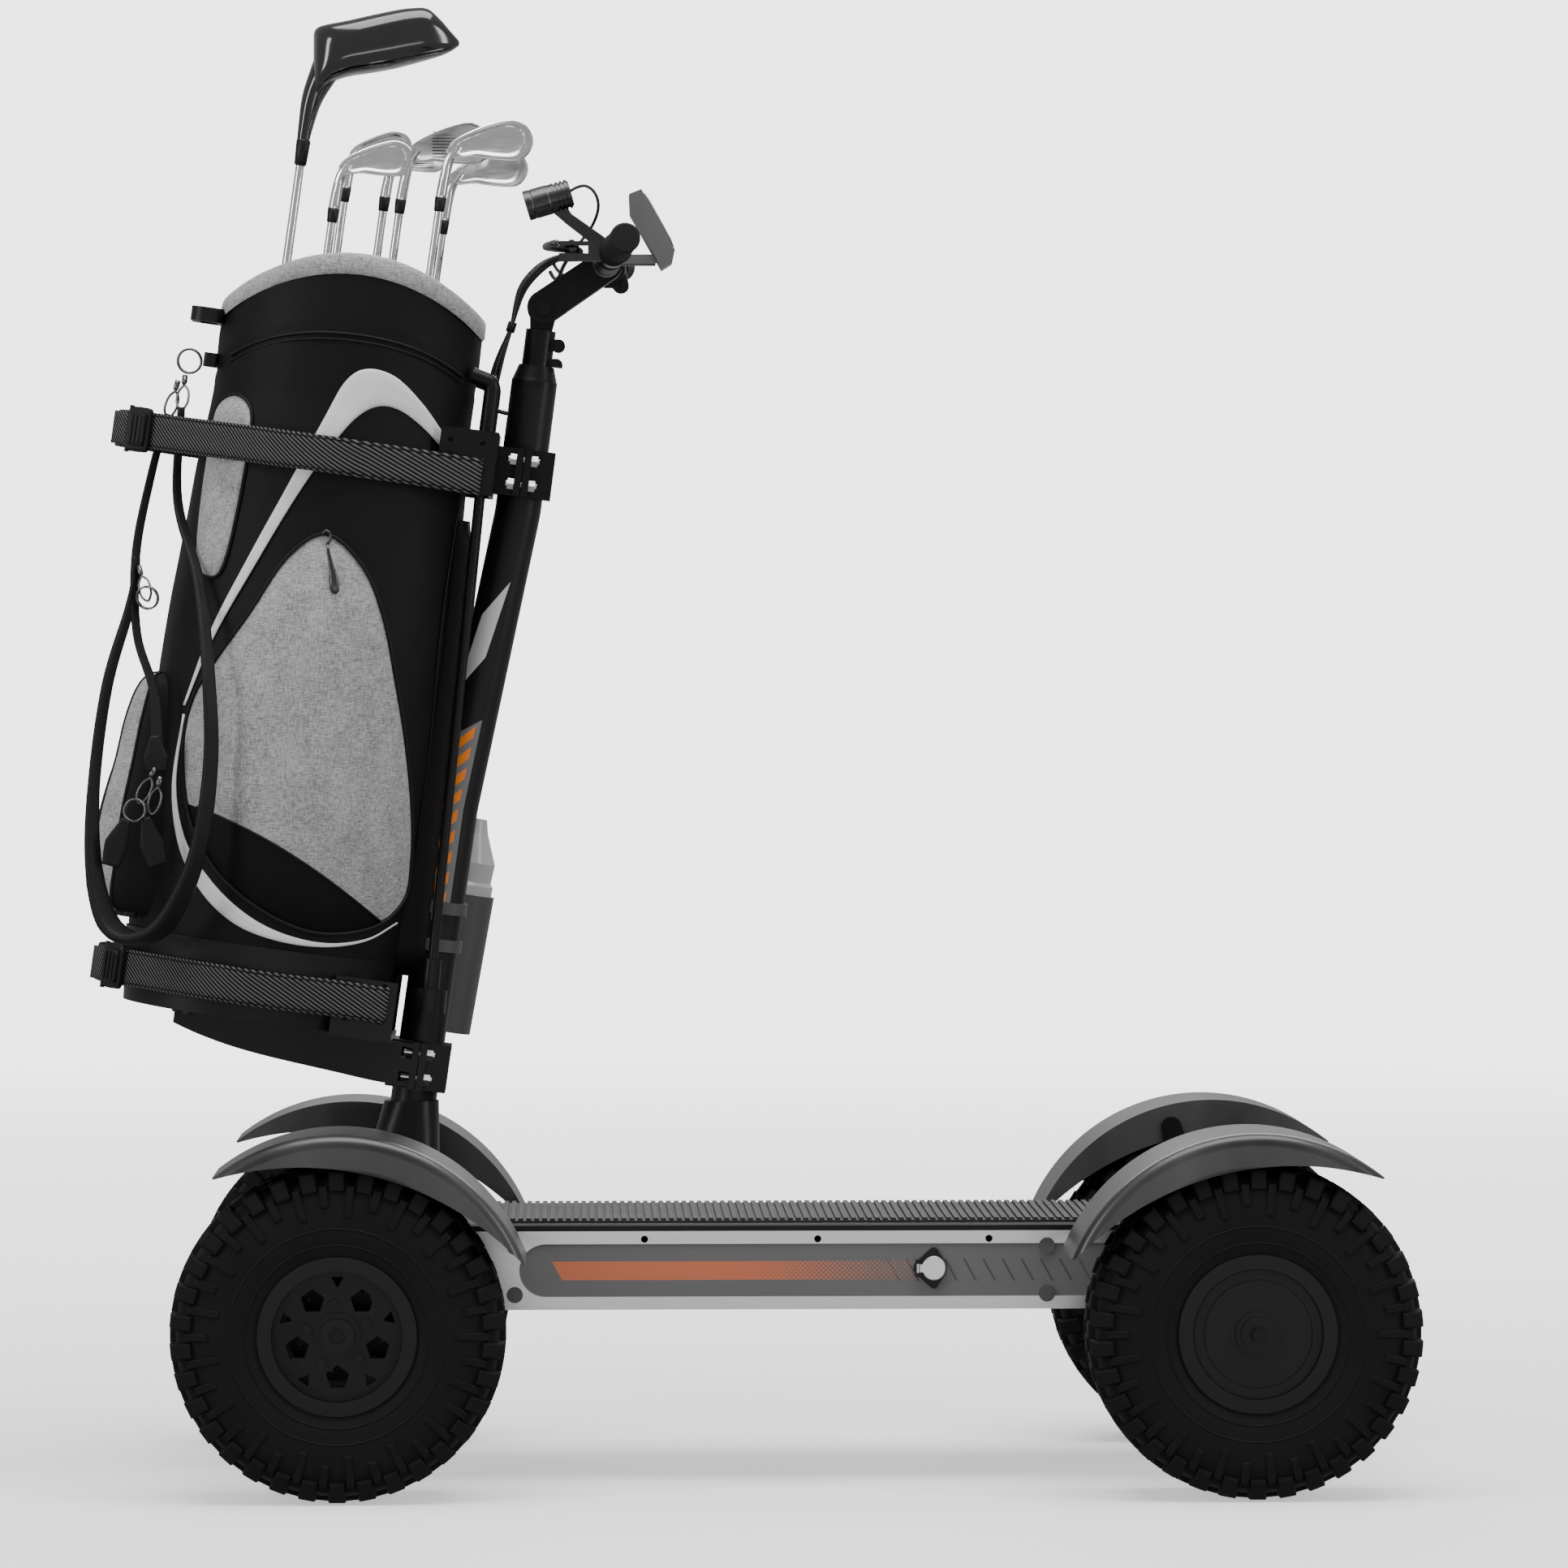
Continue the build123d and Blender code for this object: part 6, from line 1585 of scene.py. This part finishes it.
def cable(name, points, diameter, body=None, across=None, finish="cable_skin"):
    """A tube along a smooth line, on one body, or on no body when across is given."""
    line = spline_line(points)
    tube_points, faces = swept(line, ring_section(diameter / 2, 12), (0, 1, 0))
    made = new_piece(name, tube_points, faces, body, finish)
    if across:
        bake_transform(made)
    return made, line


lower_points = [
    (-0.2550, 0, 1.1990), (-0.2770, 0, 1.2020), (-0.2775, 0, 1.2150), (-0.2710, -0.002, 1.2420),
    (-0.2645, -0.004, 1.2700), (-0.2560, -0.006, 1.2980),
]
upper_points = [
    (-0.2560, -0.006, 1.2980), (-0.2480, -0.010, 1.3250), (-0.2380, -0.016, 1.3450),
    (-0.2190, -0.026, 1.3640), (-0.2020, -0.030, 1.3740), (-0.1820, -0.029, 1.3790),
    (-0.1640, -0.027, 1.3720),
]
bundle = [
    ("brake", 0.0, 0.0, 0.0050), ("throttle", -0.0058, 0.0050, 0.0046), ("lamp", 0.0058, 0.0085, 0.0036),
]


def spread(points, across, bow):
    """A bundle's middle line moved sideways and bowed outward between its fixed ends."""
    last = len(points) - 1
    moved = []
    for k, (x, y, z) in enumerate(points):
        swell = sin(pi * k / last)
        moved.append((x - bow * swell, y + across, z + bow * 0.3 * swell))
    return moved


for name, across, bow, diameter in bundle:
    made, line = cable(f"{name}_cable_lower", spread(lower_points, across, bow), diameter,
                       across=("chassis", "steering", (-0.277, 0, 1.212), (-0.262, 0, 1.285)))
    if bow == 0.0:
        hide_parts("lower_cable")
    made, line = cable(f"{name}_cable_upper", spread(upper_points, across, bow), diameter,
                       across=("steering", "stem", (-0.252, 0, 1.306), (-0.222, 0, 1.358)))
    if bow == 0.0:
        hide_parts("upper_cable")
clip = Lumps()
clip.tower([
    [Vector((-0.2562, -0.006, 1.2975)) + Vector((0.95, 0, -0.30)) * 0.0052 * cos(a) * r
     + Vector((0, 1, 0)) * 0.0095 * sin(a) * r + Vector((0.30, -0.05, 0.95)) * h
     for a in [2 * pi * i / 20 for i in range(20)]]
    for h, r in ((-0.006, 0.85), (-0.0055, 1.0), (0.0055, 1.0), (0.006, 0.85))
])
made = new_piece("cable_clip", clip.points, clip.faces, "steering", "moulded_plastic")

# %% Thin leads at the bar
for name, points, diameter in (
    ("brake_lead", [(-0.1850, -0.140, 1.3750), (-0.1900, -0.118, 1.3720), (-0.1980, -0.090, 1.3610),
                    (-0.2020, -0.062, 1.3500), (-0.2080, -0.040, 1.3500), (-0.2120, -0.032, 1.3590)], 0.0045),
    ("light_lead", [(-0.1930, -0.074, 1.4450), (-0.1780, -0.074, 1.4560), (-0.1630, -0.072, 1.4500),
                    (-0.1560, -0.066, 1.4330), (-0.1620, -0.052, 1.4130), (-0.1750, -0.040, 1.3950),
                    (-0.1860, -0.033, 1.3840)], 0.0035),
    ("throttle_lead", [(-0.1500, 0.160, 1.3560), (-0.1600, 0.130, 1.3460), (-0.1750, 0.085, 1.3470),
                       (-0.1950, 0.040, 1.3560), (-0.2070, 0.005, 1.3660), (-0.2080, -0.018, 1.3690)],
     0.0040),
):
    cable(name, points, diameter, "stem")
print("leads done")

# %% [markdown]
# ## Bar controls
# Grips are ribbed rubber sleeves with an end flange. The brake lever is a forged blade
# that swells to a ball tip. The lamp gets cooling rings, a bezel and a lens, and the
# display a dark screen in its shell. These small parts are what the eye reads as real.

# %% Grips
def bar_at(y):
    """A point on the handlebar's middle line."""
    share = max(0.0, (abs(y) - 0.095) / 0.205)
    return Vector((-0.1484 + 0.019 * share, y, 1.3679 + 0.0142 * share))


ribs = Lumps()
for side_name, side in sides:
    end, inner_end = bar_at(side * 0.300), bar_at(side * 0.205)
    axis = (end - inner_end).normalized()
    profile = [(-0.0955, 0.0115), (-0.0955, 0.0172), (-0.0925, 0.0176), (-0.0900, 0.0162)]
    for k in range(17):
        at = -0.0880 + k * 0.0048
        profile += [(at, 0.0152), (at + 0.0010, 0.0163), (at + 0.0028, 0.0163), (at + 0.0038, 0.0152)]
    profile += [(-0.0040, 0.0164), (-0.0005, 0.0168), (0.0010, 0.0150), (0.0013, 0.0050)]
    ribs.tower(turned(profile, end, axis, 36))
grips = new_piece("ribbed_grips", ribs.points, ribs.faces, "stem", "grip_rubber", smooth=False)
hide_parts("grips")

# %% Brake lever
pivot = Vector((-0.1879, -0.165, 1.37675))
route = [(0.002, 0.004), (-0.010, -0.006), (-0.020, -0.022), (-0.0275, -0.045), (-0.0272, -0.070),
         (-0.0240, -0.095), (-0.0195, -0.115), (-0.0170, -0.128)]
widths = [0.0070, 0.0066, 0.0058, 0.0046, 0.0042, 0.0044, 0.0052, 0.0036]
line = smooth_line([pivot + Vector((a, b, 0)) for a, b in route], 6)
rings = []
for i, (p, w, t) in enumerate(frames_along(line, (0, 0, 1))):
    k = i / (len(line) - 1) * (len(widths) - 1)
    j = min(int(k), len(widths) - 2)
    wide = widths[j] + (widths[j + 1] - widths[j]) * (k - j)
    rings.append([
        p + t * wide * cos(a) + w * 0.0036 * sin(a) * (1 + 0.25 * abs(cos(a)))
        for a in [2 * pi * n / 16 for n in range(16)]
    ])
lever = Lumps()
lever.tower(rings)
eye = [(-0.0040, 0.0060), (-0.0036, 0.0085), (0.0036, 0.0085), (0.0040, 0.0060)]
lever.tower(turned(eye, pivot, (0, 0, 1), 24))
made = new_piece("forged_lever", lever.points, lever.faces, "brake_lever", "dark_steel")
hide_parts("brake_lever")

# %% Lamp, display and small bolts
light_axis = Vector((-0.050, 0, -0.0148)).normalized()
light_middle = Vector((-0.2135, -0.074, 1.438))
lamp = Lumps()
profile = [(-0.0262, 0.004), (-0.0262, 0.0135), (-0.0245, 0.0150)]
for k in range(4):
    at = -0.0235 + k * 0.0050
    profile += [(at, 0.0150), (at + 0.0004, 0.0168), (at + 0.0022, 0.0168), (at + 0.0026, 0.0150)]
profile += [(-0.0020, 0.0160), (0.0000, 0.0171), (0.0175, 0.0171), (0.0185, 0.0164), (0.0200, 0.0171),
            (0.0262, 0.0171), (0.0266, 0.0150), (0.0240, 0.0142), (0.0225, 0.0100)]
lamp.tower(turned(profile, light_middle, light_axis, 40))
made = new_piece("lamp_shell", lamp.points, lamp.faces, "headlight", "dark_steel", smooth=False)
lens = Lumps()
lens.tower(turned([(0.0225, 0.0141), (0.0240, 0.0139), (0.0252, 0.0105), (0.0258, 0.0050), (0.0259, 0.0008)],
                  light_middle, light_axis, 32))
made = new_piece("lamp_lens", lens.points, lens.faces, "headlight", "lens_glass")

face_along = Vector((0.038, 0, -0.0685)).normalized()
face_out = Vector((0.0685, 0, 0.038)).normalized()
face_middle = Vector((-0.0898, 0, 1.41855))
bezel = Lumps()
face_across = Vector((0, 1, 0))
bezel.tower(rounded_plate(
    face_middle + face_out * 0.0006, face_across, face_along, face_out, 0.0315, 0.0345, 0.0014, 0.22))
made = new_piece("display_bezel", bezel.points, bezel.faces, "stem", "display_shell")
screen = Lumps()
screen.tower(rounded_plate(
    face_middle + face_out * 0.0019, face_across, face_along, face_out, 0.0270, 0.0290, 0.0008, 0.25))
made = new_piece("display_screen", screen.points, screen.faces, "stem", "screen_glass")
pads = Lumps()
for k in (-1, 0, 1):
    pad_middle = bar_at(-0.118 + k * 0.010) + Vector((0.004, 0, 0.0165))
    pads.tower(rounded_plate(
        pad_middle, face_across, Vector((1, 0, 0.1)), Vector((0, 0, 1)), 0.0036, 0.0050, 0.0018))
pads.tower(turned([(-0.020, 0.0112), (-0.020, 0.0160), (0.020, 0.0160), (0.020, 0.0112)],
                  bar_at(-0.118), bar_at(-0.13) - bar_at(-0.10), 30))
made = new_piece("switch_pod", pads.points, pads.faces, "stem", "moulded_plastic", smooth=False)
print("bar controls done")
